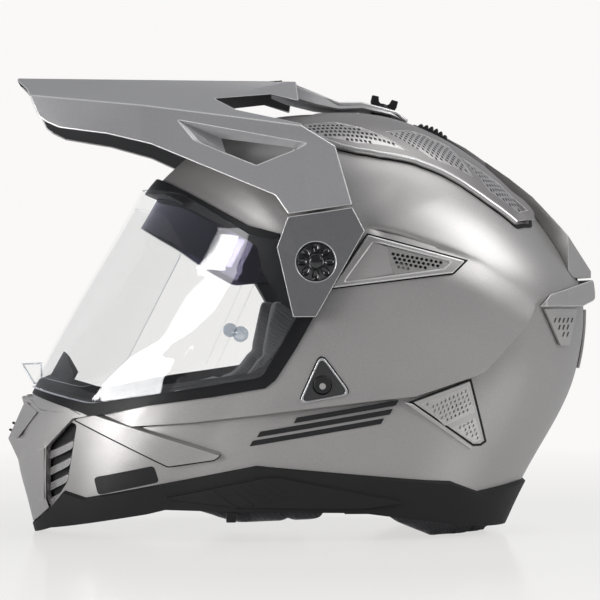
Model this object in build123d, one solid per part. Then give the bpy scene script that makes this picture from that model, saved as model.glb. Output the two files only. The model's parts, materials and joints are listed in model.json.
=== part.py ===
"""Dual sport helmet: painted shell, sun peak, clear visor, drop-down sun visor and a padded inside.

Frame: +Z is up, -X is the front of the helmet, -Y is the wearer's left.
The origin is on the surface that the helmet stands on, under the middle of its length and width.
Most pieces are layers of one body form: an outline in the side view, cut through it between two depths.
"""
from build123d import *
from functools import lru_cache
from math import cos, hypot, radians, sin
import os

# Overall sizes, in millimetres
overall_length = 391.0
overall_height = 300.0
shell_half_width = 122.0

# Walls and gaps
shell_wall = 3.5
flank_raise = 2.0
seat_gap = 0.3
running_gap = 0.08
gasket_proud = 3.8
gasket_depth = 4.8
visor_gap = 0.8
visor_wall = 2.2
pod_gap = 1.0
pod_wall = 5.4
sun_visor_depth = 5.5
sun_visor_wall = 2.0
pocket_gap = 1.6
mouth_drop = 9.0
pad_pocket = 5.0
liner_wall = 28.5
chin_liner_wall = 22.0
crown_pad_wall = 8.0
cheek_pad_wall = 46.0
neck_roll_wall = 26.0
overrun = 60.0

# Depths of the layers, counted outwards from the body form
liner_outside = -shell_wall - seat_gap
liner_inside = liner_outside - liner_wall
pocket_floor = -sun_visor_depth - sun_visor_wall - pocket_gap
visor_inside = gasket_proud + visor_gap
visor_outside = visor_inside + visor_wall
pod_inside = visor_outside + pod_gap

# The line that the visor, the sun visor and the peak turn about, as shares of the length and height
PIVOT_SHARES = (0.004, 0.591)
pivot_x = PIVOT_SHARES[0] * overall_length
pivot_z = PIVOT_SHARES[1] * overall_height

# The body form's outline in the middle plane: shares of the length and height, and how full it is there.
# The lowest points lie under the floor, so that the sides stay wide down to the lower rim.
SILHOUETTE_SHARES = (
    (0.480, 0.500, 2.35), (0.476, 0.410, 2.35), (0.460, 0.323, 2.35), (0.431, 0.242, 2.35),
    (0.393, 0.157, 2.35), (0.362, 0.081, 2.35), (0.306, -0.071, 2.30), (0.168, -0.249, 2.30),
    (0.007, -0.311, 2.30), (-0.175, -0.280, 2.30), (-0.335, -0.170, 2.10), (-0.439, -0.036, 2.10),
    (-0.462, 0.067, 2.10), (-0.481, 0.178, 1.95), (-0.478, 0.234, 1.95), (-0.454, 0.307, 1.95),
    (-0.425, 0.378, 1.95), (-0.349, 0.549, 1.95), (-0.272, 0.716, 2.10), (-0.258, 0.747, 2.10),
    (-0.223, 0.797, 2.10), (-0.175, 0.850, 2.20), (-0.106, 0.897, 2.20), (-0.021, 0.921, 2.20),
    (0.048, 0.924, 2.25), (0.117, 0.918, 2.25), (0.186, 0.894, 2.25), (0.243, 0.860, 2.25),
    (0.313, 0.797, 2.35), (0.384, 0.718, 2.35), (0.431, 0.647, 2.35), (0.466, 0.572, 2.35),
)
# Where the cross curves of the form stand, as angles from the middle plane, in degrees
CURVE_ANGLES = (-81, -70, -58, -44, -30, -15, 0, 15, 30, 44, 58, 70, 81)
FLANK_CAP = sin(radians(CURVE_ANGLES[-1]))

# Outlines in the side view, as shares of the length and height
EYE_PORT_SHARES = (
    (-0.29, 0.80), (-0.237, 0.772), (-0.211, 0.751), (-0.153, 0.706), (-0.101, 0.667), (-0.052, 0.650),
    (-0.046, 0.600), (-0.026, 0.530), (0.003, 0.478), (-0.027, 0.409), (-0.058, 0.346), (-0.074, 0.329),
    (-0.154, 0.311), (-0.260, 0.292), (-0.345, 0.269), (-0.358, 0.271), (-0.457, 0.312), (-0.55, 0.37),
    (-0.55, 0.80),
)
PORT_LIGHT_SHARES = (
    (-0.33, 0.765), (-0.229, 0.732), (-0.158, 0.678), (-0.107, 0.641), (-0.086, 0.622), (-0.078, 0.570),
    (-0.050, 0.505), (-0.023, 0.482), (-0.050, 0.421), (-0.081, 0.366), (-0.100, 0.354), (-0.158, 0.343),
    (-0.262, 0.324), (-0.346, 0.303), (-0.362, 0.306), (-0.452, 0.345), (-0.57, 0.39), (-0.57, 0.765),
)
VISOR_SHARES = (
    (-0.32, 0.765), (-0.211, 0.741), (-0.101, 0.648), (-0.062, 0.637), (-0.030, 0.655), (0.035, 0.600),
    (0.040, 0.560), (-0.026, 0.472), (-0.080, 0.353), (-0.088, 0.348), (-0.181, 0.328), (-0.354, 0.292),
    (-0.368, 0.293), (-0.456, 0.318), (-0.56, 0.35), (-0.56, 0.765),
)
VISOR_TAB_SHARES = ((-0.479, 0.370), (-0.444, 0.372), (-0.444, 0.325), (-0.458, 0.325))
FLANK_SHARES = (
    (0.083, 0.669), (0.146, 0.651), (0.231, 0.617), (0.279, 0.594), (0.317, 0.562), (0.386, 0.518),
    (0.349, 0.449), (0.281, 0.357), (0.261, 0.347), (0.166, 0.307), (0.110, 0.300), (-0.099, 0.267),
    (-0.190, 0.255), (-0.120, 0.300), (-0.045, 0.318), (-0.005, 0.375), (0.030, 0.450), (0.060, 0.520),
)
SHELL_RIM_SHARES = (
    (-0.55, 0.030), (-0.440, 0.030), (-0.400, 0.062), (-0.330, 0.072), (-0.089, 0.118), (0.192, 0.090),
    (0.278, 0.070), (0.357, 0.068), (0.55, 0.068), (0.55, -0.40), (-0.55, -0.40),
)
TRIM_SHARES = (
    (-0.485, 0.0), (-0.462, 0.014), (-0.426, 0.059), (-0.400, 0.102), (-0.365, 0.089), (-0.089, 0.163),
    (0.192, 0.129), (0.229, 0.126), (0.278, 0.101), (0.357, 0.116), (0.40, 0.118), (0.40, 0.022),
    (0.281, 0.030), (0.146, 0.055), (0.080, 0.067), (-0.115, 0.070), (-0.233, 0.072), (-0.262, 0.062),
    (-0.416, 0.0),
)
TRIM_RELIEF_SHARES = (
    (-0.236, 0.094), (-0.073, 0.140), (-0.051, 0.140), (0.150, 0.085), (0.080, 0.074), (-0.115, 0.078),
)
MASK_SHARES = (
    (-0.55, 0.34), (-0.457, 0.306), (-0.387, 0.281), (-0.362, 0.264), (-0.387, 0.258), (-0.432, 0.194),
    (-0.433, 0.079), (-0.428, 0.0625), (-0.4635, 0.0165), (-0.55, 0.0165),
)
BLADE_SHARES = ((-0.384, 0.256), (-0.351, 0.266), (-0.147, 0.184), (-0.157, 0.175), (-0.231, 0.160))
LOUVRE_SHARES = (
    (-0.431, 0.190), (-0.390, 0.250), (-0.380, 0.245), (-0.396, 0.120), (-0.424, 0.064), (-0.431, 0.080),
)
BEZEL_SHARES = ((0.014, 0.396), (0.060, 0.316), (-0.020, 0.297))
BUTTON_SHARES = (0.016, 0.334)
SIDE_VENT_SHARES = ((0.086, 0.646), (0.246, 0.594), (0.232, 0.569), (0.029, 0.538))
SIDE_VENT_MESH_SHARES = ((0.119, 0.616), (0.212, 0.589), (0.204, 0.583), (0.130, 0.570))
REAR_VENT_SHARES = ((0.168, 0.298), (0.260, 0.335), (0.286, 0.213), (0.267, 0.205))
REAR_VENT_MESH_SHARES = ((0.188, 0.296), (0.254, 0.321), (0.274, 0.224), (0.266, 0.220))
SPOILER_SHARES = ((0.380, 0.497), (0.400, 0.524), (0.490, 0.556), (0.5, 0.527), (0.5, 0.514), (0.467, 0.497))
REAR_GRILLE_SHARES = ((0.390, 0.494), (0.456, 0.494), (0.440, 0.413), (0.422, 0.413))
TAIL_GRILLE_SHARES = ((0.468, 0.490), (0.50, 0.490), (0.49, 0.360), (0.455, 0.360))
POD_SHARES = (
    (-0.041, 0.684), (0.062, 0.704), (0.082, 0.655), (0.004, 0.476), (-0.032, 0.476), (-0.058, 0.621),
)
PEAK_OUTLINE_SHARES = (
    (-0.481, 1.02), (-0.484, 0.993), (-0.466, 0.970), (-0.456, 0.945), (-0.443, 0.905), (-0.431, 0.893),
    (-0.409, 0.880), (-0.368, 0.872), (-0.330, 0.865), (-0.258, 0.841), (-0.224, 0.821), (-0.060, 0.730),
    (-0.040, 0.690),
    (0.063, 0.710), (0.039, 0.836), (0.018, 0.853), (-0.014, 0.880), (-0.014, 1.02),
)
PEAK_OPENING_SHARES = (
    (-0.153, 0.946), (-0.060, 0.958), (0.02, 0.930), (0.02, 0.868), (-0.014, 0.885), (-0.060, 0.897),
    (-0.119, 0.918),
)
SCOOP_HOLE_SHARES = ((-0.145, 0.852), (-0.028, 0.827), (-0.090, 0.796), (-0.134, 0.820))
TONGUE_TOP_SHARES = (
    (-0.040, 0.992), (-0.022, 0.990), (0.060, 0.948), (0.100, 0.949), (0.160, 0.930), (0.178, 0.912),
)
SUN_VISOR_SHARES = (
    (-0.30, 0.69), (-0.206, 0.624), (-0.163, 0.585), (-0.109, 0.545), (-0.070, 0.550), (0.020, 0.545),
    (0.045, 0.580), (0.020, 0.650), (-0.06, 0.80), (-0.20, 0.90), (-0.34, 0.80),
)
SUN_POCKET_SHARES = (
    (-0.40, 0.30), (-0.10, 0.40), (0.050, 0.500), (0.075, 0.590), (0.050, 0.680), (-0.02, 0.84), (-0.05, 1.0),
    (-0.40, 1.0),
)
BREATH_GUARD_SHARES = (
    (-0.500, 0.312), (-0.443, 0.400), (-0.415, 0.412), (-0.400, 0.385), (-0.385, 0.345), (-0.350, 0.330),
    (-0.350, 0.264), (-0.358, 0.2615), (-0.457, 0.2935),
)
POCKET_MOUTH_SHARES = (
    (-0.40, 0.60), (-0.035, 0.60), (-0.060, 0.690), (-0.080, 0.755), (-0.098, 0.785), (-0.150, 0.835),
    (-0.40, 0.95),
)
LINER_SHARES = (
    (-0.60, 1.10), (-0.30, 0.86), (-0.190, 0.775), (-0.075, 0.685), (-0.035, 0.630), (-0.025, 0.520),
    (0.040, 0.500), (0.050, 0.270), (0.130, 0.250), (0.190, 0.225), (0.60, 0.225), (0.60, 1.10),
)
CHEEK_PAD_SHARES = (
    (-0.062, 0.518), (0.034, 0.490), (0.040, 0.100), (0.020, 0.040), (-0.120, 0.032), (-0.250, 0.085),
    (-0.262, 0.250), (-0.180, 0.330), (-0.110, 0.350), (-0.082, 0.400),
)
CROWN_PAD_SHARES = (
    (-0.60, 1.10), (-0.30, 0.86), (-0.180, 0.770), (-0.065, 0.680), (0.060, 0.560), (0.150, 0.420),
    (0.60, 0.260), (0.60, 1.10),
)
NECK_ROLL_SHARES = ((0.150, 0.215), (0.55, 0.215), (0.55, 0.040), (0.340, 0.0), (0.200, 0.0), (0.128, 0.040))
SPINE_HEEL_SHARES = (0.182, 0.560)
POD_RIM_SHARES = (
    (0.062, 0.704), (0.082, 0.655), (0.004, 0.476), (-0.003, 0.480), (0.055, 0.568), (0.072, 0.650),
    (0.054, 0.698),
)
CHIN_LINER_SHARES = (
    (-0.55, 0.322), (-0.457, 0.292), (-0.358, 0.260), (-0.268, 0.272), (-0.268, 0.088), (-0.330, 0.088),
    (-0.400, 0.080), (-0.430, 0.050), (-0.55, 0.050),
)
RIM_ROOM_SHARES = (
    (-0.60, 0.014), (-0.462, 0.014), (-0.426, 0.062), (-0.400, 0.105), (-0.365, 0.092), (-0.089, 0.166),
    (0.192, 0.132), (0.229, 0.129), (0.278, 0.104), (0.357, 0.119), (0.60, 0.119), (0.60, -0.40),
    (-0.60, -0.40),
)
SHELL_ROOM_SHARES = ((-0.60, -0.10), (0.60, -0.10), (0.60, 0.50), (-0.60, 0.50))
SLAT_SHARES = ((-0.432, 0.180), (-0.432, 0.162), (-0.385, 0.199), (-0.385, 0.207))
SLAT_PITCH_SHARE = 0.0300
LOUVRE_FIT_SHARES = (
    (-0.430, 0.186), (-0.393, 0.240), (-0.386, 0.235), (-0.399, 0.120), (-0.424, 0.070), (-0.430, 0.082),
)

# Outlines in the plan view, as shares of the length and the shell's half width
CROWN_VENT_SHARES = (
    (-0.018, 0.500), (0.029, 0.720), (0.074, 0.775), (0.114, 0.765), (0.165, 0.745), (0.219, 0.735),
    (0.273, 0.720), (0.325, 0.690), (0.347, 0.640), (0.378, 0.510), (0.380, 0.430), (0.300, 0.260),
    (0.170, 0.235), (0.020, 0.330),
)
CROWN_MESH_SHARES = (
    ((-0.004, 0.530), (0.050, 0.560), (0.158, 0.690), (0.060, 0.730)),
    ((0.120, 0.500), (0.200, 0.400), (0.290, 0.480), (0.265, 0.630), (0.220, 0.640)),
    ((0.290, 0.600), (0.310, 0.480), (0.362, 0.500), (0.350, 0.580), (0.325, 0.620)),
)
SPINE_SHARES = (
    (0.190, 0.0), (0.198, 0.07), (0.240, 0.125), (0.310, 0.135), (0.400, 0.36), (0.440, 0.42), (0.488, 0.22),
    (0.492, 0.0),
)
SPINE_TOP_SHARES = (
    (0.182, 0.904), (0.243, 0.873), (0.278, 0.848), (0.313, 0.816), (0.349, 0.779), (0.384, 0.738),
    (0.426, 0.674), (0.455, 0.628), (0.493, 0.567), (0.490, 0.560),
)
SPOILER_PLAN_SHARES = ((0.36, 0.72), (0.392, 0.70), (0.435, 0.52), (0.492, 0.24), (0.5, 0.12))

# Peak cross sections: the place along the length, then the half width and height of the roof edge, of the
# crease and of the lower edge
PEAK_SECTION_SHARES = (
    (-0.490, 0.15, 0.999, 0.475, 0.957, 0.520, 0.860),
    (-0.275, 0.20, 0.997, 0.650, 0.928, 0.800, 0.820),
    (-0.130, 0.23, 0.994, 0.765, 0.902, 0.990, 0.735),
    (-0.013, 0.25, 0.991, 0.850, 0.880, 1.096, 0.685),
    (0.100, 0.25, 0.991, 0.910, 0.830, 1.096, 0.685),
)
TONGUE_HALF_SHARES = ((-0.040, 0.25), (0.060, 0.20), (0.160, 0.14), (0.180, 0.11), (0.19, 0.11))
peak_wall = 2.6
tongue_wall = 2.2
# How far the hood's form runs on below its lower edge, and how an inner form draws in at the roof and sides
HOOD_REACH_SHARE = 0.2
ROOF_DRAW_SHARE = 0.5
SIDE_DRAW_SHARE = 0.33

# The chin's nose: its outline in the middle plane and where it runs out at the sides
NOSE_SHARES = ((-0.477, 0.297), (-0.474, 0.282), (-0.5, 0.206), (-0.474, 0.134), (-0.466, 0.100))
NOSE_SIDE_SHARES = ((-0.417, 0.297), (-0.417, 0.282), (-0.440, 0.206), (-0.433, 0.134), (-0.427, 0.100))
NOSE_WIDTH_SHARES = (0.10, 0.40)
NOSE_BACK_SHARE = -0.36
mask_raise = 2.3

# Turning pieces at the pivot
pod_rim_raise = 4.8
tab_half_width = 13.0
hub_radius = 9.0
hub_plate_radius = 15.0
visor_hub_radius = 19.0
sun_hub_radius = 14.0
dial_radius = 12.2
dial_height = 3.4
dial_lobe_radius = 2.4
dial_lobe_ring = 8.3
dial_lobe_depth = 1.4
dial_lobes = 8
dial_cap_radius = 3.4
dial_stem_radius = 3.0
sun_pivot_radius = 4.0
sun_flange_radius = 7.0
sun_flange_wall = 1.2

# Buttons, levers and the top knob
button_radius = 5.6
button_proud = 1.6
button_reach = 6.0
bezel_height = 1.6
bezel_corner = 4.0
sleeve_wall = 1.2
crown_slider_radius = 165.2
crown_slider_wall = 2.4
crown_slider_half_width = 3.2
crown_slider_teeth = 5
tooth_radius = 1.5
CROWN_SLIDER_SHARE = 0.180
TRACK_CENTRE_SHARES = (0.044, 0.375)
CROWN_SLIDER_SHARES = ((0.188, 1.0), (0.300, 0.823), (0.296, 0.800), (0.188, 0.800))
TOOTH_ANGLES = (63.2, 53.5)
KNOB_SHARES = (0.138, 0.9375)
KNOB_SLOPE = 14.0
knob_radius = 8.0
knob_base = 2.0
wing_height = 5.5
wing_wall = 2.6
knob_stem_radius = 2.6
stem_reach = 6.0
boss_radius = 7.0
slot_reach = 4.6
boss_drop = 1.2
CHIN_SLIDER_SHARES = (-0.4872, 0.2435)
CHIN_SLIDER_SLOPE = 66.0
chin_slider_length = 10.0
chin_slider_width = 20.0
chin_slider_wall = 1.4
chin_pocket_length = 20.0
chin_pocket_width = 24.0
chin_pocket_depth = 3.4
chin_rib_height = 2.4
chin_rib_wall = 1.2
chin_grille_bars = 3
chin_grille_wall = 0.85
LEVER_SHARES = (-0.129, 0.822, 0.0690)
lever_tab_length = 6.0
lever_tab_width = 5.0
lever_tab_height = 8.0
lever_foot_length = 11.0
lever_foot_height = 1.6
lever_stem_height = 8.0
lever_stem_length = 4.0
lever_stem_width = 2.4
lever_travel = 20.0

# Small covers and trim
blade_raise = 2.6
vent_raise = 2.0
crown_raise = 3.6
mesh_depth = 1.4
mesh_pitch = 6.6
mesh_hole = 3.6
port_radius = 5.0
trim_raise = 3.0
trim_inside = 6.0
relief_raise = 4.6
louvre_wall = 1.6
louvre_slats = 4
slat_raise = 0.6
tail_grille_half_width = 22.0
guard_wall = 3.0
guard_half_width = 52.0
pin_radius = 3.2
pin_flange_radius = 5.0
pin_flange = 1.0
pin_stem = 1.6
PIN_SHARES = (-0.115, 0.440)

# Chin strap and buckle
strap_width = 22.0
strap_wall = 2.2
STRAP_X_SHARE = 0.088
STRAP_BEND_SHARE = 0.4
STRAP_ROUTE_SHARES = ((0.785, 0.152), (0.785, 0.086), (0.660, 0.056), (0.230, 0.056))
RIVET_SHARES = (0.088, 0.128)
rivet_radius = 2.2
rivet_head_radius = 5.0
rivet_head = 1.4
buckle_length = 32.0
buckle_width = 28.0
buckle_wall = 1.4
buckle_height = 9.0
buckle_lever_wall = 2.0
buckle_lever_boss = 3.2
axle_radius = 1.5
axle_height = 6.0
ratchet_wall = 1.6
ratchet_width = 18.0
ratchet_length = 44.0
ratchet_teeth = 8
ratchet_tooth = 1.0
pull_tab_wall = 1.2
PULL_TAB_SHARES = ((-0.215, 0.100), (-0.215, 0.140), (-0.180, 0.140), (-0.180, 0.100))


def spot(shares):
    """The side-view place, in mm, of a pair of shares."""
    return (shares[0] * overall_length, shares[1] * overall_height)


def spots(table):
    """The side-view places of a table of shares."""
    return [spot(shares) for shares in table]


def plan(table):
    """The plan-view places of a table of shares of the length and the half width."""
    return [(x * overall_length, y * shell_half_width) for x, y in table]


@lru_cache(maxsize=None)
def dome(offset):
    """The body form, grown by offset: side-view curves about the pivot, lofted across the width."""
    places = [spot(row) for row in SILHOUETTE_SHARES]
    half = shell_half_width + offset
    steps = [hypot(b[0] - a[0], b[1] - a[1]) for a, b in zip(places, places[1:] + places[:1])]
    along = [sum(steps[:i]) / sum(steps) for i in range(len(steps) + 1)]
    wires = []
    for angle in CURVE_ANGLES:
        across = sin(radians(abs(angle)))
        points = []
        for (x, z), row in zip(places, SILHOUETTE_SHARES):
            reach = hypot(x - pivot_x, z - pivot_z)
            share = (1 - across ** row[2]) ** (1 / row[2]) * (reach + offset) / reach
            points.append(Vector(pivot_x + (x - pivot_x) * share, half * sin(radians(angle)),
                                 pivot_z + (z - pivot_z) * share))
        wires.append(Wire([Edge.make_spline(points, periodic=True, parameters=along)]))
    return Solid.make_loft(wires)


def cap_y(offset):
    """How far the flat flank of the grown form stands from the middle plane."""
    return (shell_half_width + offset) * FLANK_CAP


def side_face(points, corner=0):
    """A face in the middle plane with the side-view outline given, its corners rounded by corner."""
    places = [(x, 0, z) for x, z in points]
    if corner:
        return make_face(FilletPolyline(*places, radius=corner, close=True))
    return make_face(Polyline(*places, close=True))


def through(table, corner=0):
    """A prism of a side-view outline that runs through the whole helmet."""
    face = side_face(spots(table), corner)
    return extrude(face, amount=shell_half_width + overrun, dir=(0, 1, 0), both=True)


def left_of(table, corner=0):
    """A prism of a side-view outline on the wearer's left."""
    return extrude(side_face(spots(table), corner), amount=shell_half_width + overrun, dir=(0, -1, 0))


def upright(points, floor=0):
    """A vertical prism of a plan-view outline, from the height of floor up."""
    face = make_face(Polyline(*[(x, y, floor) for x, y in points], close=True))
    return extrude(face, amount=overall_height + overrun, dir=(0, 0, 1))


def layer(prism, low, high):
    """What a prism cuts out of the body form between two depths."""
    return (prism & dome(high)) - dome(low)


def pin(radius, x, z, y_from, y_to):
    """A cylinder across the helmet, between two half widths on the wearer's left."""
    return Pos(x, -(y_from + y_to) / 2, z) * Rot(90, 0, 0) * Cylinder(radius, abs(y_to - y_from))


def other_side(shape):
    """The same piece on the wearer's right."""
    return mirror(shape, about=Plane.XZ)


def both(shape):
    """A piece and its mirror image, as one node."""
    return Compound(children=solids_of(shape) + solids_of(other_side(shape)))


def solids_of(shape):
    """The separate solids of a shape."""
    return list(shape.solids())


def holes(points, pitch, hole, depth_from, depth_to, upright_holes=False):
    """A staggered pattern of square holes that lie inside an outline, as one shape for cutting."""
    outline = make_face(Polyline(*[(x, y, 0) for x, y in points], close=True))
    box = outline.bounding_box()
    cutters = []
    row = 0
    y = box.min.Y + pitch / 2
    while y < box.max.Y:
        x = box.min.X + (pitch / 2 if row % 2 else pitch)
        while x < box.max.X:
            corners = [Vector(x + dx * hole / 2, y + dy * hole / 2, 0) for dx in (-1, 1) for dy in (-1, 1)]
            if all(outline.is_inside(corner) for corner in corners):
                height = abs(depth_to - depth_from)
                middle = (depth_from + depth_to) / 2
                if upright_holes:
                    cutters.append(Pos(x, y, middle) * Box(hole, hole, height))
                else:
                    cutters.append(Pos(x, -middle, y) * Box(hole, height, hole))
            x += pitch
        y += pitch / 2 + hole / 4
        row += 1
    return cutters


def cut_all(shape, cutters):
    """The shape with every cutter taken out."""
    return shape - cutters if cutters else shape


def plate(length, width, height, x, y, z):
    """A box with its middle at the place given."""
    return Pos(x, y, z) * Box(length, width, height)


def box_spot(row):
    """The place, in mm, of shares of the length, the half width and the height, on the wearer's left."""
    return (row[0] * overall_length, -row[1] * shell_half_width, row[2] * overall_height)


def button_axis():
    """The side button's place in the side view."""
    return spot(BUTTON_SHARES)


def strap_rivet_hole(gap):
    """The hole for a strap rivet in the shell, on the wearer's left."""
    x, z = spot(RIVET_SHARES)
    return pin(rivet_radius + gap, x, z, cap_y(0) / 2, shell_half_width + overrun)


def air_ports():
    """The air holes through the shell behind each vent's mesh, on the wearer's left."""
    ports = []
    for table in CROWN_MESH_SHARES:
        x, y = middle(plan(table))
        ports.append(Pos(x, -y, pivot_z + overall_height / 2) * Cylinder(port_radius, overall_height))
    for table in (SIDE_VENT_MESH_SHARES, REAR_VENT_MESH_SHARES):
        x, z = middle(spots(table))
        ports.append(pin(port_radius, x, z, cap_y(0) / 2, shell_half_width + overrun))
    return ports


def middle(points):
    """The average place of a list of points."""
    return (sum(p[0] for p in points) / len(points), sum(p[1] for p in points) / len(points))


def outer_shell():
    """The painted shell: body form less its inside, eye port, lower rim, vents and holes."""
    flank = layer(left_of(FLANK_SHARES), -shell_wall / 2, flank_raise)
    shell = (dome(0) + flank + other_side(flank)) - dome(-shell_wall)
    shell -= through(EYE_PORT_SHARES)
    shell -= through(SHELL_RIM_SHARES)
    shell -= through(LOUVRE_SHARES)
    x, z = button_axis()
    holes_left = [
        pin(button_radius + sleeve_wall + seat_gap, x, z, cap_y(0) / 2, shell_half_width + overrun),
        pin(hub_radius + seat_gap, pivot_x, pivot_z, cap_y(0) / 2, shell_half_width + overrun),
        strap_rivet_hole(seat_gap),
    ] + air_ports()
    return shell - holes_left - [other_side(hole) for hole in holes_left]


def eyeport_gasket():
    """The black rubber frame of the eye port."""
    ring = through(EYE_PORT_SHARES) - through(PORT_LIGHT_SHARES)
    return layer(ring, -gasket_depth, gasket_proud)


def hub_prism(radius):
    """A round prism about the pivot line, through the whole helmet."""
    return pin(radius, pivot_x, pivot_z, -shell_half_width - overrun, shell_half_width + overrun)


def visor_shield():
    """The clear visor, with its hubs, lift tab and pivot holes."""
    shield = layer(through(VISOR_SHARES) + hub_prism(visor_hub_radius), visor_inside, visor_outside)
    tab = extrude(side_face(spots(VISOR_TAB_SHARES)), amount=tab_half_width, dir=(0, 1, 0), both=True)
    shield += tab - dome(visor_inside)
    return shield - hub_prism(hub_radius + running_gap)


def lens_pin():
    """A pin inside the visor that holds an anti-fog lens: a stem and a flange."""
    x, z = spot(PIN_SHARES)
    behind = dome(visor_inside) - dome(visor_inside - pin_stem)
    probe = pin(pin_flange_radius, x, z, 0, shell_half_width + overrun) & behind
    inner = -probe.bounding_box().max.Y - pin_stem
    stem = pin(pin_radius, x, z, inner, shell_half_width + overrun) & dome(visor_inside - seat_gap / 2)
    return stem + pin(pin_flange_radius, x, z, inner - pin_flange, inner)


def hinge_base():
    """The plate on the shell's flank that the visor's hub turns on, with the inner pin for the sun visor."""
    hub_top = cap_y(pod_inside) - running_gap
    visor_seat = cap_y(visor_inside) - running_gap
    sun_seat = cap_y(-sun_visor_depth) + running_gap
    sun_floor = cap_y(-sun_visor_depth - sun_visor_wall) - running_gap
    base = pin(hub_plate_radius, pivot_x, pivot_z, cap_y(0), visor_seat)
    base += pin(hub_radius, pivot_x, pivot_z, sun_seat, hub_top)
    base += pin(sun_pivot_radius, pivot_x, pivot_z, sun_floor - sun_flange_wall, sun_seat)
    base += pin(sun_flange_radius, pivot_x, pivot_z, sun_floor - sun_flange_wall, sun_floor)
    return base - pin(dial_stem_radius + running_gap, pivot_x, pivot_z, dial_tip() - running_gap, hub_top)


def dial_tip():
    """How far from the middle plane the dial's stem ends, inside the hub."""
    return cap_y(0)


def pod_face():
    """How far the pod's flat outer face stands from the middle plane."""
    return cap_y(pod_inside) + pod_wall


def pod():
    """The six-sided cover at the peak's root: a slab with the dial's recess, and a rim behind the visor."""
    slab = extrude(side_face(spots(POD_SHARES)), amount=pod_face(), dir=(0, -1, 0)) - dome(pod_inside)
    rim = extrude(side_face(spots(POD_RIM_SHARES)), amount=pod_face(), dir=(0, -1, 0)) - dome(pod_rim_raise)
    cover = slab + rim
    cover -= pin(dial_radius + seat_gap, pivot_x, pivot_z, pod_face() - dial_height, pod_face() + overrun)
    return cover - pin(dial_stem_radius + running_gap, pivot_x, pivot_z, 0, pod_face())


def dial():
    """The round thumb screw in the pod, with eight finger hollows about its middle."""
    back = pod_face() - dial_height + running_gap
    face = pod_face() - running_gap
    knob = pin(dial_radius, pivot_x, pivot_z, back, face)
    for i in range(dial_lobes):
        turn = radians(i * 360 / dial_lobes)
        x = pivot_x + dial_lobe_ring * cos(turn)
        z = pivot_z + dial_lobe_ring * sin(turn)
        knob -= pin(dial_lobe_radius, x, z, face - dial_lobe_depth, face + overrun)
    knob -= pin(dial_cap_radius, pivot_x, pivot_z, face - dial_lobe_depth / 2, face + overrun)
    return knob + pin(dial_stem_radius, pivot_x, pivot_z, dial_tip(), back)


def sun_visor():
    """The tinted inner visor, stowed behind the brow."""
    outline = through(SUN_VISOR_SHARES) + hub_prism(sun_hub_radius)
    shade = layer(outline, -sun_visor_depth - sun_visor_wall, -sun_visor_depth)
    return shade - hub_prism(sun_pivot_radius + running_gap)


def sun_pocket():
    """The room that the sun visor needs inside the liner."""
    return layer(through(SUN_POCKET_SHARES), pocket_floor, 0)


def pocket_mouth():
    """The deeper room at the pocket's front edge, which the sun visor swings through on its way down."""
    return layer(through(POCKET_MOUTH_SHARES), pocket_floor - mouth_drop, 0)


def impact_liner():
    """The foam shell that takes a blow, with a pocket for the sun visor."""
    return layer(through(LINER_SHARES), liner_inside, liner_outside) - sun_pocket() - pocket_mouth()


def chin_liner():
    """The foam bar inside the chin."""
    bar = layer(through(CHIN_LINER_SHARES), -chin_liner_wall, liner_outside)
    return bar - layer(through(LOUVRE_SHARES), -shell_wall - louvre_wall - seat_gap, 0)


def crown_pad():
    """The soft lining of the crown."""
    return layer(through(CROWN_PAD_SHARES), liner_inside - crown_pad_wall, liner_inside - seat_gap)


def rim_room():
    """The room that the lower trim takes inside the shell, and below it."""
    return layer(through(RIM_ROOM_SHARES), -trim_inside - seat_gap, 0)


def cheek_pad():
    """The soft pad beside the cheek."""
    pad = layer(left_of(CHEEK_PAD_SHARES), liner_outside - cheek_pad_wall, liner_outside)
    pad -= layer(left_of(EYE_PORT_SHARES), -gasket_depth - seat_gap, 0)
    pad -= layer(left_of(SUN_POCKET_SHARES), pocket_floor - pad_pocket, 0)
    x, z = button_axis()
    floor = cap_y(0) - button_reach - shell_wall - seat_gap
    pad -= pin(button_radius + sleeve_wall + seat_gap, x, z, floor, shell_half_width)
    return pad - rim_room() - lever_room()


def lever_room():
    """The room that the sun visor's lever takes along its whole run."""
    x, y, z = box_spot(LEVER_SHARES)
    length = lever_foot_length + lever_travel + 2 * seat_gap
    width = lever_tab_width + 2 * seat_gap
    height = lever_tab_height + lever_stem_height + 2 * seat_gap
    return plate(length, width, height, x + lever_travel / 2, y, z + (lever_stem_height - lever_tab_height) / 2)


def neck_roll():
    """The padded roll about the neck opening, flat where the helmet stands on it."""
    return layer(through(NECK_ROLL_SHARES), liner_outside - neck_roll_wall, liner_outside) - rim_room()


def lower_trim():
    """The rubber rim: a skirt outside the shell, a bead inside it, and a raised relief on each side."""
    relief = layer(left_of(TRIM_RELIEF_SHARES), seat_gap, relief_raise)
    trim = layer(through(TRIM_SHARES), -trim_inside, trim_raise) + relief + other_side(relief)
    above_rim = through(SHELL_ROOM_SHARES) - Pos(0, 0, -seat_gap) * through(SHELL_RIM_SHARES)
    trim -= layer(above_rim, -shell_wall - trim_inside, seat_gap)
    x, y, z = box_spot(LEVER_SHARES)
    length = lever_stem_length + lever_travel + 2 * seat_gap
    width = lever_stem_width + 2 * seat_gap
    return trim - plate(length, width, 2 * lever_stem_height, x + lever_travel / 2, y, z)


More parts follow.
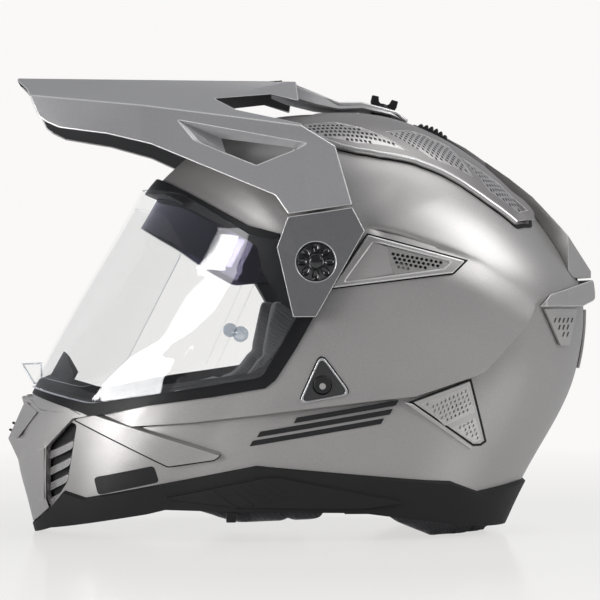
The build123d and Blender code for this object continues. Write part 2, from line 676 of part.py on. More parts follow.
def nose():
    """The faceted beak of the chin bar."""
    sections = []
    for share, table in ((-NOSE_WIDTH_SHARES[1], NOSE_SIDE_SHARES), (-NOSE_WIDTH_SHARES[0], NOSE_SHARES),
                         (NOSE_WIDTH_SHARES[0], NOSE_SHARES), (NOSE_WIDTH_SHARES[1], NOSE_SIDE_SHARES)):
        back = [(NOSE_BACK_SHARE, table[-1][1]), (NOSE_BACK_SHARE, table[0][1])]
        places = [(x, share * shell_half_width, z) for x, z in spots(list(table) + back)]
        sections.append(make_face(Polyline(*places, close=True)))
    return loft(sections, ruled=True)


def chin_place():
    """The place and slope of the chin vent's pocket: local X runs up the nose and local Z out of it."""
    x, z = spot(CHIN_SLIDER_SHARES)
    return Pos(x, 0, z) * Rot(0, -CHIN_SLIDER_SLOPE, 0)


def chin_mask():
    """The painted front cover of the chin bar, with the pocket of the chin vent."""
    mask = layer(through(MASK_SHARES), seat_gap, mask_raise) + (nose() - dome(seat_gap))
    pocket = plate(chin_pocket_length, chin_pocket_width, overrun, 0, 0, overrun / 2 - chin_pocket_depth)
    return mask - chin_place() * pocket


def chin_vent_grille():
    """The bars across the chin vent's pocket, behind its slider."""
    wall = chin_grille_wall
    floor = -chin_pocket_depth + seat_gap / 2 + wall / 2
    grille = plate(chin_pocket_length - 2 * seat_gap, chin_pocket_width - 2 * seat_gap, wall, 0, 0, floor)
    pitch = chin_pocket_length / (chin_grille_bars + 1)
    for i in range(chin_grille_bars):
        x = (i + 1) * pitch - chin_pocket_length / 2
        grille -= plate(pitch / 2, chin_pocket_width - pitch, overrun, x, 0, 0)
    return chin_place() * grille


def chin_slider():
    """The slider that shuts the chin vent, with two finger ribs."""
    rest = (chin_slider_length - chin_pocket_length) / 2 + seat_gap
    slider = plate(chin_slider_length, chin_slider_width, chin_slider_wall, rest, 0, -chin_slider_wall / 2)
    for side in (-1, 1):
        place = rest + side * chin_slider_length / 4
        middle_height = chin_rib_height / 2 - seat_gap
        slider += plate(chin_rib_wall, chin_slider_width / 2, chin_rib_height, place, 0, middle_height)
    return chin_place() * slider


def chin_blade():
    """The slim raised blade along the cheek."""
    return layer(left_of(BLADE_SHARES), seat_gap, blade_raise)


def chin_louvre():
    """The slanted slats in the opening beside the chin, on a thin frame behind the shell."""
    slats = layer(left_of(LOUVRE_SHARES), -shell_wall - louvre_wall, -shell_wall)
    for i in range(louvre_slats - 1):
        drop = i * SLAT_PITCH_SHARE
        slat = [(x, z - drop) for x, z in SLAT_SHARES]
        slats += layer(left_of(slat) & left_of(LOUVRE_FIT_SHARES), -shell_wall - louvre_wall / 2, slat_raise)
    return slats


def breath_guard():
    """The soft deflector that rises behind the eye port's lower edge."""
    front, half = -overall_length, guard_half_width
    band = upright([(front, -half), (0, -half), (0, half), (front, half)])
    outside = -gasket_depth - seat_gap
    return layer(through(BREATH_GUARD_SHARES), outside - guard_wall, outside) & band


def crown_vent():
    """The long ribbed cover beside the crown's middle, with a window for each mesh."""
    cover = layer(upright(left_plan(CROWN_VENT_SHARES), pivot_z), seat_gap, crown_raise)
    for table in CROWN_MESH_SHARES:
        cover -= upright(left_plan(table), pivot_z)
    return cover


def left_plan(table):
    """The plan-view places of a table, on the wearer's left."""
    return [(x, -y) for x, y in plan(table)]


def crown_mesh():
    """The mesh inserts in the crown cover's windows."""
    meshes = []
    for table in CROWN_MESH_SHARES:
        points = shrunk(left_plan(table), seat_gap)
        insert = layer(upright(points, pivot_z), seat_gap, seat_gap + mesh_depth)
        cutters = holes(points, mesh_pitch, mesh_hole, pivot_z, overall_height, True)
        meshes.extend(solids_of(cut_all(insert, cutters)))
    return Compound(children=meshes)


def shrunk(points, gap):
    """The points drawn in towards their middle by about the gap given."""
    x0, y0 = middle(points)
    result = []
    for x, y in points:
        reach = hypot(x - x0, y - y0)
        result.append((x - (x - x0) * 2 * gap / reach, y - (y - y0) * 2 * gap / reach))
    return result


def centre_spine():
    """The ridge along the middle of the crown and the back."""
    top = spots(SPINE_TOP_SHARES) + [spot(SPINE_HEEL_SHARES)]
    half = plan(SPINE_SHARES)
    outline = half + [(x, -y) for x, y in half[-2:0:-1]]
    ridge = extrude(side_face(top), amount=shell_half_width, dir=(0, 1, 0), both=True) & upright(outline)
    return ridge - dome(seat_gap)


def side_vent():
    """The wedge-shaped vent cover behind the pod, with a window for its mesh."""
    cover = layer(left_of(SIDE_VENT_SHARES), flank_raise + seat_gap, flank_raise + vent_raise)
    return cover - left_of(SIDE_VENT_MESH_SHARES)


def side_mesh():
    """The mesh insert of the side vent."""
    points = shrunk(spots(SIDE_VENT_MESH_SHARES), seat_gap)
    face = side_face(points)
    insert = layer(extrude(face, amount=shell_half_width + overrun, dir=(0, -1, 0)), flank_raise + seat_gap,
                   flank_raise + mesh_depth)
    return cut_all(insert, holes(points, mesh_pitch, mesh_hole, 0, shell_half_width + overrun))


def rear_vent():
    """The frame of the vent low on the flank's rear."""
    return layer(left_of(REAR_VENT_SHARES) - left_of(REAR_VENT_MESH_SHARES), seat_gap, vent_raise)


def rear_mesh():
    """The mesh insert of the rear vent."""
    points = shrunk(spots(REAR_VENT_MESH_SHARES), seat_gap)
    face = side_face(points)
    insert = layer(extrude(face, amount=shell_half_width + overrun, dir=(0, -1, 0)), seat_gap, mesh_depth)
    return cut_all(insert, holes(points, mesh_pitch, mesh_hole, 0, shell_half_width + overrun))


def rear_spoiler():
    """The lip across the back of the helmet."""
    half = plan(SPOILER_PLAN_SHARES)
    outline = half + [(x, -y) for x, y in reversed(half)]
    lip = through(SPOILER_SHARES) & upright(outline)
    return lip - dome(seat_gap) - centre_spine_room()


def centre_spine_room():
    """The room that the ridge takes above the rear lip."""
    (tail_x, tail_z), (low_x, low_z) = spots(SPINE_TOP_SHARES)[-2:]
    heel_x, heel_z = spot(SPINE_HEEL_SHARES)
    half = plan(SPINE_SHARES)[-3:]
    outline = half + [(x, -y) for x, y in half[-2::-1]]
    room = [(tail_x, tail_z), (overall_length, tail_z), (overall_length, low_z), (low_x, low_z)]
    room.append((heel_x, heel_z))
    prism = extrude(side_face(room), amount=shell_half_width, dir=(0, 1, 0), both=True)
    return Pos(0, 0, -seat_gap) * prism & upright(outline)


def rear_grille():
    """The slotted grille under the rear lip."""
    points = spots(REAR_GRILLE_SHARES)
    insert = layer(left_of(REAR_GRILLE_SHARES), seat_gap, vent_raise)
    return cut_all(insert, holes(points, mesh_pitch, mesh_hole, 0, shell_half_width + overrun))


def tail_grille():
    """The grille in the middle of the back."""
    half = tail_grille_half_width
    band = upright([(0, -half), (overall_length, -half), (overall_length, half), (0, half)])
    return layer(through(TAIL_GRILLE_SHARES) & band, seat_gap, vent_raise)


def button_bezel():
    """The three-cornered frame of the side button, with the sleeve that the button slides in."""
    x, z = button_axis()
    frame = layer(left_of(BEZEL_SHARES, bezel_corner), flank_raise + seat_gap, flank_raise + bezel_height)
    inner_end = cap_y(0) - button_reach - shell_wall
    sleeve = pin(button_radius + sleeve_wall, x, z, inner_end, shell_half_width + overrun)
    frame += sleeve & dome(flank_raise + bezel_height)
    return frame - pin(button_radius + running_gap, x, z, cap_y(0) / 2, shell_half_width + overrun)


def side_button():
    """The round push button in the bezel."""
    x, z = button_axis()
    stem = pin(button_radius, x, z, cap_y(0) - button_reach, shell_half_width + overrun)
    return stem & dome(flank_raise + bezel_height + button_proud)


def knob_place():
    """The place and slope of the top knob: local X runs back along the tongue and local Z out of it."""
    x, z = spot(KNOB_SHARES)
    return Pos(x, 0, z) * Rot(0, KNOB_SLOPE, 0)


def peak_knob():
    """The wing screw that holds the peak's tongue: a base disc, two wings and a stem."""
    knob = Pos(0, 0, knob_base / 2) * Cylinder(knob_radius, knob_base)
    for side in (-1, 1):
        wing = plate(knob_radius - wing_wall, wing_wall, wing_height, side * (knob_radius + wing_wall) / 2, 0,
                     knob_base + wing_height / 2)
        knob += wing
    knob += Pos(0, 0, knob_base) * Cylinder(knob_stem_radius, wing_height / 2)
    stem = Pos(0, 0, -stem_reach / 2) * Cylinder(knob_stem_radius, stem_reach)
    return knob_place() * (knob + stem)


def peak_boss():
    """The threaded post on the crown that the wing screw goes into."""
    top = -tongue_wall - boss_drop
    post = Pos(0, 0, (top - overrun) / 2) * Cylinder(boss_radius, overrun + top)
    bore = Pos(0, 0, -overrun / 2) * Cylinder(knob_stem_radius + running_gap, overrun)
    return knob_place() * post - dome(seat_gap) - knob_place() * bore


def peak_section(row, inset):
    """One cross section of the peak's hood, drawn in by inset."""
    x, roof, roof_z, crease, crease_z, low, low_z = row
    places = [
        (roof * shell_half_width - inset * ROOF_DRAW_SHARE, roof_z * overall_height - inset),
        (crease * shell_half_width - inset, crease_z * overall_height - inset * SIDE_DRAW_SHARE),
        (low * shell_half_width - inset, low_z * overall_height - inset * SIDE_DRAW_SHARE),
    ]
    (crease_y, crease_at), (low_y, low_at) = places[1:]
    run_y, run_z = low_y - crease_y, low_at - crease_at
    places.append((low_y + run_y * HOOD_REACH_SHARE, low_at + run_z * HOOD_REACH_SHARE))
    left = [(x * overall_length, -y, z) for y, z in reversed(places)]
    right = [(x * overall_length, y, z) for y, z in places]
    return make_face(Polyline(*left, *right, close=True))


def hood(inset):
    """The peak's hood as a solid form, drawn in by inset."""
    return loft([peak_section(row, inset) for row in PEAK_SECTION_SHARES], ruled=True)


def peak_shell():
    """The sun peak: a folded hood with side wings, an opening beside the tongue, and a slotted tongue."""
    peak = (hood(0) - hood(peak_wall)) & through(PEAK_OUTLINE_SHARES)
    peak -= through(PEAK_OPENING_SHARES)
    peak -= through(SCOOP_HOLE_SHARES)
    top = spots(TONGUE_TOP_SHARES)
    under = [(x, z - tongue_wall) for x, z in reversed(top)]
    half = plan(TONGUE_HALF_SHARES)
    strip = extrude(side_face(top + under), amount=shell_half_width, dir=(0, 1, 0), both=True)
    peak += strip & upright(half + [(x, -y) for x, y in reversed(half)])
    slot = plate(slot_reach, 2 * (knob_stem_radius + seat_gap), overrun, -slot_reach / 2, 0, 0)
    ends = [Pos(x, 0, 0) * Cylinder(knob_stem_radius + seat_gap, overrun) for x in (0, -slot_reach)]
    return peak - [knob_place() * piece for piece in [slot] + ends]


def crown_slider():
    """The toothed slider beside the ridge, which runs on a curved track over the crown."""
    x, z = spot(TRACK_CENTRE_SHARES)
    y = CROWN_SLIDER_SHARE * shell_half_width
    inner, outer = y - crown_slider_half_width, y + crown_slider_half_width
    bar = pin(crown_slider_radius + crown_slider_wall, x, z, inner, outer)
    bar -= pin(crown_slider_radius, x, z, 0, 2 * outer)
    bar = bar & left_of(CROWN_SLIDER_SHARES)
    first, last = TOOTH_ANGLES
    for i in range(crown_slider_teeth):
        turn = radians(first + (last - first) * i / (crown_slider_teeth - 1))
        reach = crown_slider_radius + crown_slider_wall
        bar += pin(tooth_radius, x + reach * cos(turn), z + reach * sin(turn), inner, outer)
    return bar


def sun_lever():
    """The lever under the left rim that lowers the sun visor: a foot, a finger tab and a stem."""
    x, y, z = box_spot(LEVER_SHARES)
    under = z - seat_gap
    foot = plate(lever_foot_length, lever_tab_width, lever_foot_height, x, y, under - lever_foot_height / 2)
    tab = plate(lever_tab_length, lever_tab_width, lever_tab_height, x, y, under - lever_tab_height / 2)
    stem = plate(lever_stem_length, lever_stem_width, lever_stem_height, x, y, under + lever_stem_height / 2)
    return foot + tab + stem


def strap_route(side):
    """The strap's middle line in the plane across the helmet."""
    x = STRAP_X_SHARE * overall_length
    return [(x, side * y * shell_half_width, z * overall_height) for y, z in STRAP_ROUTE_SHARES]


def chin_strap():
    """The woven strap on the wearer's left, from its rivet to the buckle."""
    points = strap_route(-1)
    runs = [hypot(b[1] - a[1], b[2] - a[2]) for a, b in zip(points, points[1:])]
    line = FilletPolyline(*points, radius=[min(runs) * STRAP_BEND_SHARE] * (len(points) - 2))
    section = Plane(origin=points[0], z_dir=line % 0, x_dir=(1, 0, 0)) * Rectangle(strap_width, strap_wall)
    return sweep(section, path=line) - strap_rivet_hole(seat_gap)


def strap_rivet():
    """The rivet that joins a strap to the shell, flush with the shell's outside."""
    x, z = spot(RIVET_SHARES)
    rivet = pin(rivet_radius, x, z, strap_inner_y() - rivet_head, shell_half_width + overrun) & dome(0)
    strap_outer_y = strap_inner_y() + strap_wall + 2 * seat_gap
    collar = pin(rivet_head_radius, x, z, strap_outer_y, shell_half_width) & dome(liner_outside)
    return rivet + collar + pin(rivet_head_radius, x, z, strap_inner_y() - rivet_head, strap_inner_y())


def strap_inner_y():
    """How far the strap's inner face stands from the middle plane beside its rivet."""
    return STRAP_ROUTE_SHARES[0][0] * shell_half_width - strap_wall / 2 - seat_gap


def buckle_place():
    """The place of the buckle's floor: local Y runs along the strap."""
    x, y, z = strap_route(-1)[-1]
    return Pos(x, y + buckle_length / 2 + seat_gap, z - strap_wall / 2)


def buckle_body():
    """The buckle's floor and two side walls, with the axle of its lever."""
    body = plate(buckle_width, buckle_length, buckle_wall, 0, 0, buckle_wall / 2)
    wall_x = (buckle_width - buckle_wall) / 2
    for side in (-1, 1):
        body += plate(buckle_wall, buckle_length, buckle_height, side * wall_x, 0, buckle_height / 2)
    axle = Pos(0, axle_y(), axle_height) * Rot(0, 90, 0) * Cylinder(axle_radius, buckle_width - buckle_wall)
    return buckle_place() * (body + axle)


def axle_y():
    """How far along the buckle its lever's axle stands."""
    return buckle_lever_boss + seat_gap - buckle_length / 2


def buckle_lever():
    """The lever that frees the ratchet strap."""
    width = buckle_width - 2 * buckle_wall - 2 * seat_gap
    length = buckle_length - buckle_lever_boss
    boss = Pos(0, axle_y(), axle_height) * Rot(0, 90, 0) * Cylinder(buckle_lever_boss - seat_gap, width)
    arm_height = axle_height + buckle_lever_wall / 2
    arm = plate(width, length, buckle_lever_wall, 0, axle_y() + length / 2, arm_height)
    bore = Pos(0, axle_y(), axle_height) * Rot(0, 90, 0) * Cylinder(axle_radius + running_gap, buckle_width)
    return buckle_place() * (boss + arm - bore)


def ratchet_strap():
    """The toothed plastic strap that the buckle grips, up to the webbing of the other side."""
    level = buckle_wall + seat_gap + ratchet_wall / 2
    start = axle_y() + buckle_lever_boss
    strip = plate(ratchet_width, ratchet_length, ratchet_wall, 0, start + ratchet_length / 2, level)
    pitch = ratchet_length / 2 / ratchet_teeth
    tooth_level = level + (ratchet_wall + ratchet_tooth) / 2
    for i in range(ratchet_teeth):
        place = start + (i + 1) * pitch
        strip += plate(ratchet_width, pitch / 2, ratchet_tooth, 0, place, tooth_level)
    return buckle_place() * strip


def cheek_pull_tab():
    """The tab on the inside of a cheek pad that pulls it out."""
    seat = liner_outside - cheek_pad_wall - seat_gap
    return layer(left_of(PULL_TAB_SHARES), seat - pull_tab_wall, seat)


def write_nodes():
    """Write one STEP file for each node."""
    lone = (outer_shell, eyeport_gasket, lower_trim, impact_liner, chin_liner, crown_pad, neck_roll, chin_mask,
            chin_vent_grille, chin_slider, breath_guard, centre_spine, rear_spoiler, tail_grille, visor_shield,
            sun_visor, peak_shell, peak_knob, peak_boss, sun_lever, buckle_body, buckle_lever, ratchet_strap)
    paired = (cheek_pad, chin_blade, chin_louvre, crown_vent, crown_mesh, side_vent, side_mesh, rear_vent,
              rear_mesh, rear_grille, hinge_base, pod, dial, button_bezel, side_button, crown_slider,
              chin_strap)
    grouped = (lens_pin, strap_rivet, cheek_pull_tab)
    os.makedirs("parts", exist_ok=True)
    for build in lone:
        export_step(build(), f"parts/{build.__name__}.step")
    for build in paired:
        piece = build()
        export_step(piece, f"parts/{build.__name__}_left.step")
        export_step(other_side(piece), f"parts/{build.__name__}_right.step")
    for build in grouped:
        export_step(both(build()), f"parts/{build.__name__}s.step")


if __name__ == "__main__":
    write_nodes()
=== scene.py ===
"""Looks of the dual sport helmet, dressed over its construction.

Lengths are in millimetres until a mesh is made, and in metres in the mesh. The frame is the construction's:
+Z is up, -X is the front of the helmet and -Y is the wearer's left.
"""
from __future__ import annotations

import json
import logging
import math
from dataclasses import dataclass, field
from enum import Enum
from functools import cached_property
from typing import Any, Callable, Sequence, Union

import bmesh
import bpy
import numpy as np
from bpy.types import ID, Material, Mesh, Node, NodeSocket, NodeTree, Object
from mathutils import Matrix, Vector
from mathutils.bvhtree import BVHTree
from mathutils.geometry import delaunay_2d_cdt

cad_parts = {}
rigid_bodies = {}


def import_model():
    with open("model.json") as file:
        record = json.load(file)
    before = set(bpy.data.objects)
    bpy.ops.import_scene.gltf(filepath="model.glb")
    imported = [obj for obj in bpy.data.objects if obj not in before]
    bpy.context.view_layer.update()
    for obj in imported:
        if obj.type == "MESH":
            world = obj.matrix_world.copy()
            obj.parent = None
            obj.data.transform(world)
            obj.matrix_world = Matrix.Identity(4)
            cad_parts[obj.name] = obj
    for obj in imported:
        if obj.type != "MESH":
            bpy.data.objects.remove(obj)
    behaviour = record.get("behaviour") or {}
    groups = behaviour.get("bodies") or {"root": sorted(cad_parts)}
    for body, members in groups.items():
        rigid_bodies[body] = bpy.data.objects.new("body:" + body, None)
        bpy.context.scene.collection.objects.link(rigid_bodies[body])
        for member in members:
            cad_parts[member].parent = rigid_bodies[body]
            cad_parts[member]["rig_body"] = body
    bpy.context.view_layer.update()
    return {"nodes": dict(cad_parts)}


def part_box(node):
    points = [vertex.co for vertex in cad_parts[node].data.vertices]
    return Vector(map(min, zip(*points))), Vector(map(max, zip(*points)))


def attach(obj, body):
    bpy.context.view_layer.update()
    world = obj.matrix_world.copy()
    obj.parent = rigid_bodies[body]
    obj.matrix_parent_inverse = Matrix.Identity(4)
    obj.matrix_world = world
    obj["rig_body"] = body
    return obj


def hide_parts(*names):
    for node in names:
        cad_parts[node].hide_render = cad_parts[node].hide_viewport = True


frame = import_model()
log = logging.getLogger("helmet")

Array = np.ndarray
Colour = tuple[float, float, float]
Shares = tuple[tuple[float, ...], ...]
Height = Union[float, Callable[[Array, Array], Array]]
MM = 0.001
DOUBLES = 0.0001


class Side(Enum):
    """Which side of the helmet a piece lies on."""

    LEFT = "left"
    RIGHT = "right"
    BOTH = "both"

    @property
    def sign(self) -> int:
        """Where the side lies along Y: -1 for the wearer's left, otherwise 1."""
        return -1 if self is Side.LEFT else 1


BOTH_SIDES = (Side.LEFT, Side.RIGHT)


# Shader sums


class Wire:
    """A shader value that takes part in sums: each operator adds one Math node."""

    def __init__(self, tree: NodeTree, socket: NodeSocket) -> None:
        """Hold the socket that carries the value, and its tree."""
        self.tree = tree
        self.socket = socket

    def math(self, operation: str, *values: Any) -> Wire:
        """Add a Math node.

        Args:
            operation: the node's operation.
            values: its inputs in order, as wires or numbers.

        Returns:
            The node's result.
        """
        node = self.tree.nodes.new("ShaderNodeMath")
        node.operation = operation
        for slot, value in zip(node.inputs, values):
            if isinstance(value, Wire):
                self.tree.links.new(value.socket, slot)
            else:
                slot.default_value = value
        return Wire(self.tree, node.outputs[0])

    def __add__(self, other: Any) -> Wire:
        """The sum."""
        return self.math("ADD", self, other)

    def __sub__(self, other: Any) -> Wire:
        """The difference."""
        return self.math("SUBTRACT", self, other)

    def __rsub__(self, other: float) -> Wire:
        """The difference, reflected."""
        return self.math("SUBTRACT", other, self)

    def __mul__(self, other: Any) -> Wire:
        """The product."""
        return self.math("MULTIPLY", self, other)

    def clamped(self) -> Wire:
        """The value, kept between zero and one."""
        return self.math("MINIMUM", self.math("MAXIMUM", self, 0.0), 1.0)


class Nodes:
    """The node tree of a material or a world."""

    def __init__(self, tree: NodeTree, output: str) -> None:
        """Hold the tree and its output node."""
        self.tree = tree
        self.output = tree.nodes[output]

    def node(self, kind: str, settings: dict[str, Any], values: dict[Any, Any]) -> Node:
        """Add any node.

        Args:
            kind: the node's type, without its prefix.
            settings: its own settings, set first.
            values: numbers, colours or wires for its sockets, by name or index.

        Returns:
            The node.
        """
        node = self.tree.nodes.new("ShaderNode" + kind)
        for key, value in settings.items():
            setattr(node, key, value)
        for key, value in values.items():
            self.feed(node, key, value)
        return node

    def feed(self, node: Node, key: Any, value: Any) -> None:
        """Set a node's socket to a value, or link a wire to it.

        Args:
            node: the node.
            key: the socket's name or number.
            value: a wire or a value.
        """
        if isinstance(value, Wire):
            self.tree.links.new(value.socket, node.inputs[key])
        else:
            node.inputs[key].default_value = value

    def wire(self, node: Node, out: Any = 0) -> Wire:
        """A node's output as a wire."""
        return Wire(self.tree, node.outputs[out])

    def mixed(self, share: Wire, low: Node, high: Node) -> None:
        """Show the low shader where the share is 0 and the high one where it is 1."""
        mix = self.node("MixShader", {}, {0: share, 1: self.wire(low), 2: self.wire(high)})
        self.feed(self.output, "Surface", self.wire(mix))


class Shader(Nodes):
    """A material in the making: one Principled shader and the nodes that feed it."""

    def __init__(self, name: str) -> None:
        """Start a material of that name.

        Args:
            name: the material's name.
        """
        self.material = bpy.data.materials.new(name)
        self.material.use_nodes = True
        super().__init__(self.material.node_tree, "Material Output")
        self.surface = self.tree.nodes["Principled BSDF"]

    def coords(self, scale: Sequence[float] = (1.0, 1.0, 1.0), turn: Sequence[float] = (0.0, 0.0, 0.0)) -> Wire:
        """Object coordinates in metres, scaled and turned."""
        at = self.wire(self.node("TexCoord", {}, {}), "Object")
        return self.wire(self.node("Mapping", {}, {"Vector": at, "Scale": scale, "Rotation": turn}))

    def noise(self, scale: float, detail: float = 2.0, roughness: float = 0.5, at: Wire | None = None) -> Wire:
        """Fractal noise from 0 to 1, with scale cells a metre."""
        values = {"Vector": at or self.coords(), "Scale": scale, "Detail": detail, "Roughness": roughness}
        return self.wire(self.node("TexNoise", {}, values))

    def cells(self, scale: float) -> Wire:
        """The distance to the nearest of random points, with scale cells a metre."""
        return self.wire(self.node("TexVoronoi", {}, {"Vector": self.coords(), "Scale": scale}), "Distance")

    def blend(self, share: Wire, low: Sequence[float], high: Sequence[float]) -> Wire:
        """A colour between low and high."""
        node = self.node("Mix", {"data_type": "RGBA"}, {0: share, 6: (*low, 1.0), 7: (*high, 1.0)})
        return self.wire(node, 2)

    def bump(self, height: Wire, depth: float, strength: float = 1.0) -> None:
        """Feed the surface's normal with a relief of that depth in metres."""
        node = self.node("Bump", {}, {"Strength": strength, "Distance": depth, "Height": height})
        self.feed(self.surface, "Normal", self.wire(node))

    def set(self, **values: Any) -> Shader:
        """Set the surface's sockets; an underscore in a name stands for a space.

        Args:
            values: a wire or a value for each socket.

        Returns:
            The shader.
        """
        for key, value in values.items():
            self.feed(self.surface, key.replace("_", " "), value)
        return self


# Finishes


def tone(colour: Colour, by: float) -> Colour:
    """A colour made lighter or darker by a factor."""
    return tuple(min(1.0, part * by) for part in colour)


@dataclass(frozen=True)
class Lacquer:
    """Matte metallic lacquer: a clear-bound metal pigment with fine flakes and a soft orange-peel."""

    name: str
    colour: Colour
    flake_lift: float = 0.16
    metallic: float = 0.62
    roughness: float = 0.40
    flakes_per_metre: float = 2600.0
    drift_per_metre: float = 9.0
    peel_depth: float = 0.00003
    peel_per_metre: float = 650.0
    flake_contrast: float = 1.6
    drift_contrast: float = 0.35
    flake_spread: float = 0.16
    drift_spread: float = 0.06

    def make(self) -> Material:
        """Build the material: flakes and a slow drift vary its colour and roughness, a peel its relief.

        Returns:
            The material.
        """
        shader = Shader(self.name)
        flake = shader.noise(self.flakes_per_metre, 1.0)
        drift = shader.noise(self.drift_per_metre, 2.0)
        share = (flake - 0.5) * self.flake_contrast + 0.5 + (drift - 0.5) * self.drift_contrast
        dark, light = tone(self.colour, 1 - self.flake_lift), tone(self.colour, 1 + self.flake_lift)
        shader.set(Base_Color=shader.blend(share.clamped(), dark, light), Metallic=self.metallic,
                   Roughness=(flake - 0.5) * self.flake_spread + (drift - 0.5) * self.drift_spread + self.roughness)
        shader.bump(flake * 0.6 + shader.noise(self.peel_per_metre, 1.0) * 0.4, self.peel_depth, 0.6)
        return shader.material


@dataclass(frozen=True)
class Moulded:
    """Moulded plastic or rubber with a fine grain."""

    name: str
    colour: Colour
    roughness: float = 0.55
    grain_per_metre: float = 1500.0
    grain_depth: float = 0.00006
    spread: float = 0.18
    coat: float = 0.0
    gloss: float = 0.5
    wear_per_metre: float = 24.0
    wear_spread: float = 0.2
    grain_spread: float = 0.12

    def make(self) -> Material:
        """Build the material: the grain and slow patches of wear vary its colour and roughness.

        Returns:
            The material.
        """
        shader = Shader(self.name)
        grain = shader.noise(self.grain_per_metre, 2.0)
        wear = shader.noise(self.wear_per_metre, 3.0)
        dark, light = tone(self.colour, 1 - self.spread), tone(self.colour, 1 + self.spread)
        shader.set(Base_Color=shader.blend((grain * 0.5 + wear * 0.5).clamped(), dark, light),
                   Roughness=(wear - 0.5) * self.wear_spread + (grain - 0.5) * self.grain_spread + self.roughness,
                   Coat_Weight=self.coat, Specular_IOR_Level=self.gloss)
        shader.bump(grain, self.grain_depth, 0.7)
        return shader.material


@dataclass(frozen=True)
class Fabric:
    """Brushed or woven lining: crossing threads, with a sheen."""

    name: str
    colour: Colour
    threads_per_metre: float = 900.0
    depth: float = 0.0003
    sheen: float = 0.35
    fuzz_per_metre: float = 420.0
    turn: tuple[float, float, float] = (0.4, 0.9, 0.2)
    roughness: float = 0.75

    def threads(self, shader: Shader, direction: str, at: Wire) -> Wire:
        """Wavy bands of threads, from 0 to 1, at given coordinates; the wave's scale counts a sixth of them."""
        values = {"Vector": at, "Scale": self.threads_per_metre / 6.0, "Distortion": 1.5}
        return shader.wire(shader.node("TexWave", {"wave_type": "BANDS", "bands_direction": direction}, values), "Fac")

    def make(self) -> Material:
        """Build the material: two crossing runs of threads under a fuzz.

        Returns:
            The material.
        """
        shader = Shader(self.name)
        warp = self.threads(shader, "DIAGONAL", shader.coords())
        weave = warp * self.threads(shader, "X", shader.coords(turn=self.turn))
        fuzz = shader.noise(self.fuzz_per_metre, 3.0)
        dark, light = tone(self.colour, 0.6), tone(self.colour, 1.7)
        shader.set(Base_Color=shader.blend((weave * 0.6 + fuzz * 0.4).clamped(), dark, light),
                   Roughness=fuzz * 0.2 + self.roughness, Sheen_Weight=self.sheen)
        shader.bump(weave + fuzz * 0.5, self.depth, 0.6)
        return shader.material


@dataclass(frozen=True)
class Clear:
    """Clear or tinted hard-coated sheet: it lets light through and mirrors more at a glance."""

    name: str
    tint: Colour
    gloss_colour: Colour = (0.6, 0.6, 0.6)
    body: float = 0.02
    index: float = 1.5
    most: float = 0.11
    haze: float = 0.006
    roughness: float = 0.03

    def make(self) -> Material:
        """Build the material: a tinted see-through under a mirror that grows with the angle, up to a limit.

        Returns:
            The material.
        """
        shader = Shader(self.name)
        shader.set(Base_Color=(*self.gloss_colour, 1.0), Roughness=self.roughness, Metallic=1.0)
        fresnel = shader.wire(shader.node("Fresnel", {}, {"IOR": self.index}))
        share = fresnel.math("MINIMUM", fresnel, self.most) + self.body + shader.noise(12.0, 2.0) * self.haze
        shader.mixed(share, shader.node("BsdfTransparent", {}, {"Color": (*self.tint, 1.0)}), shader.surface)
        return shader.material


@dataclass(frozen=True)
class Metal:
    """Brushed or blasted metal."""

    name: str
    colour: Colour
    roughness: float = 0.3
    lines_per_metre: float = 900.0
    line_depth: float = 0.00003

    def make(self) -> Material:
        """Build the material: fine lines drawn out along X.

        Returns:
            The material.
        """
        shader = Shader(self.name)
        lines = shader.noise(self.lines_per_metre, 2.0, at=shader.coords((1.0, 12.0, 12.0)))
        shader.set(Base_Color=shader.blend(lines, tone(self.colour, 0.8), tone(self.colour, 1.15)), Metallic=1.0,
                   Roughness=lines * 0.2 + self.roughness)
        shader.bump(lines, self.line_depth, 0.5)
        return shader.material


@dataclass(frozen=True)
class Foam:
    """Expanded beads pressed together."""

    name: str
    colour: Colour
    beads_per_metre: float = 420.0
    bead_depth: float = 0.0004
    roughness: float = 0.7

    def make(self) -> Material:
        """Build the material: each bead is lighter and higher in its middle.

        Returns:
            The material.
        """
        shader = Shader(self.name)
        bead = shader.cells(self.beads_per_metre)
        shader.set(Base_Color=shader.blend((1 - bead * 1.4).clamped(), self.colour, tone(self.colour, 1.6)),
                   Roughness=bead * 0.2 + self.roughness)
        shader.bump(1 - bead, self.bead_depth, 0.6)
        return shader.material


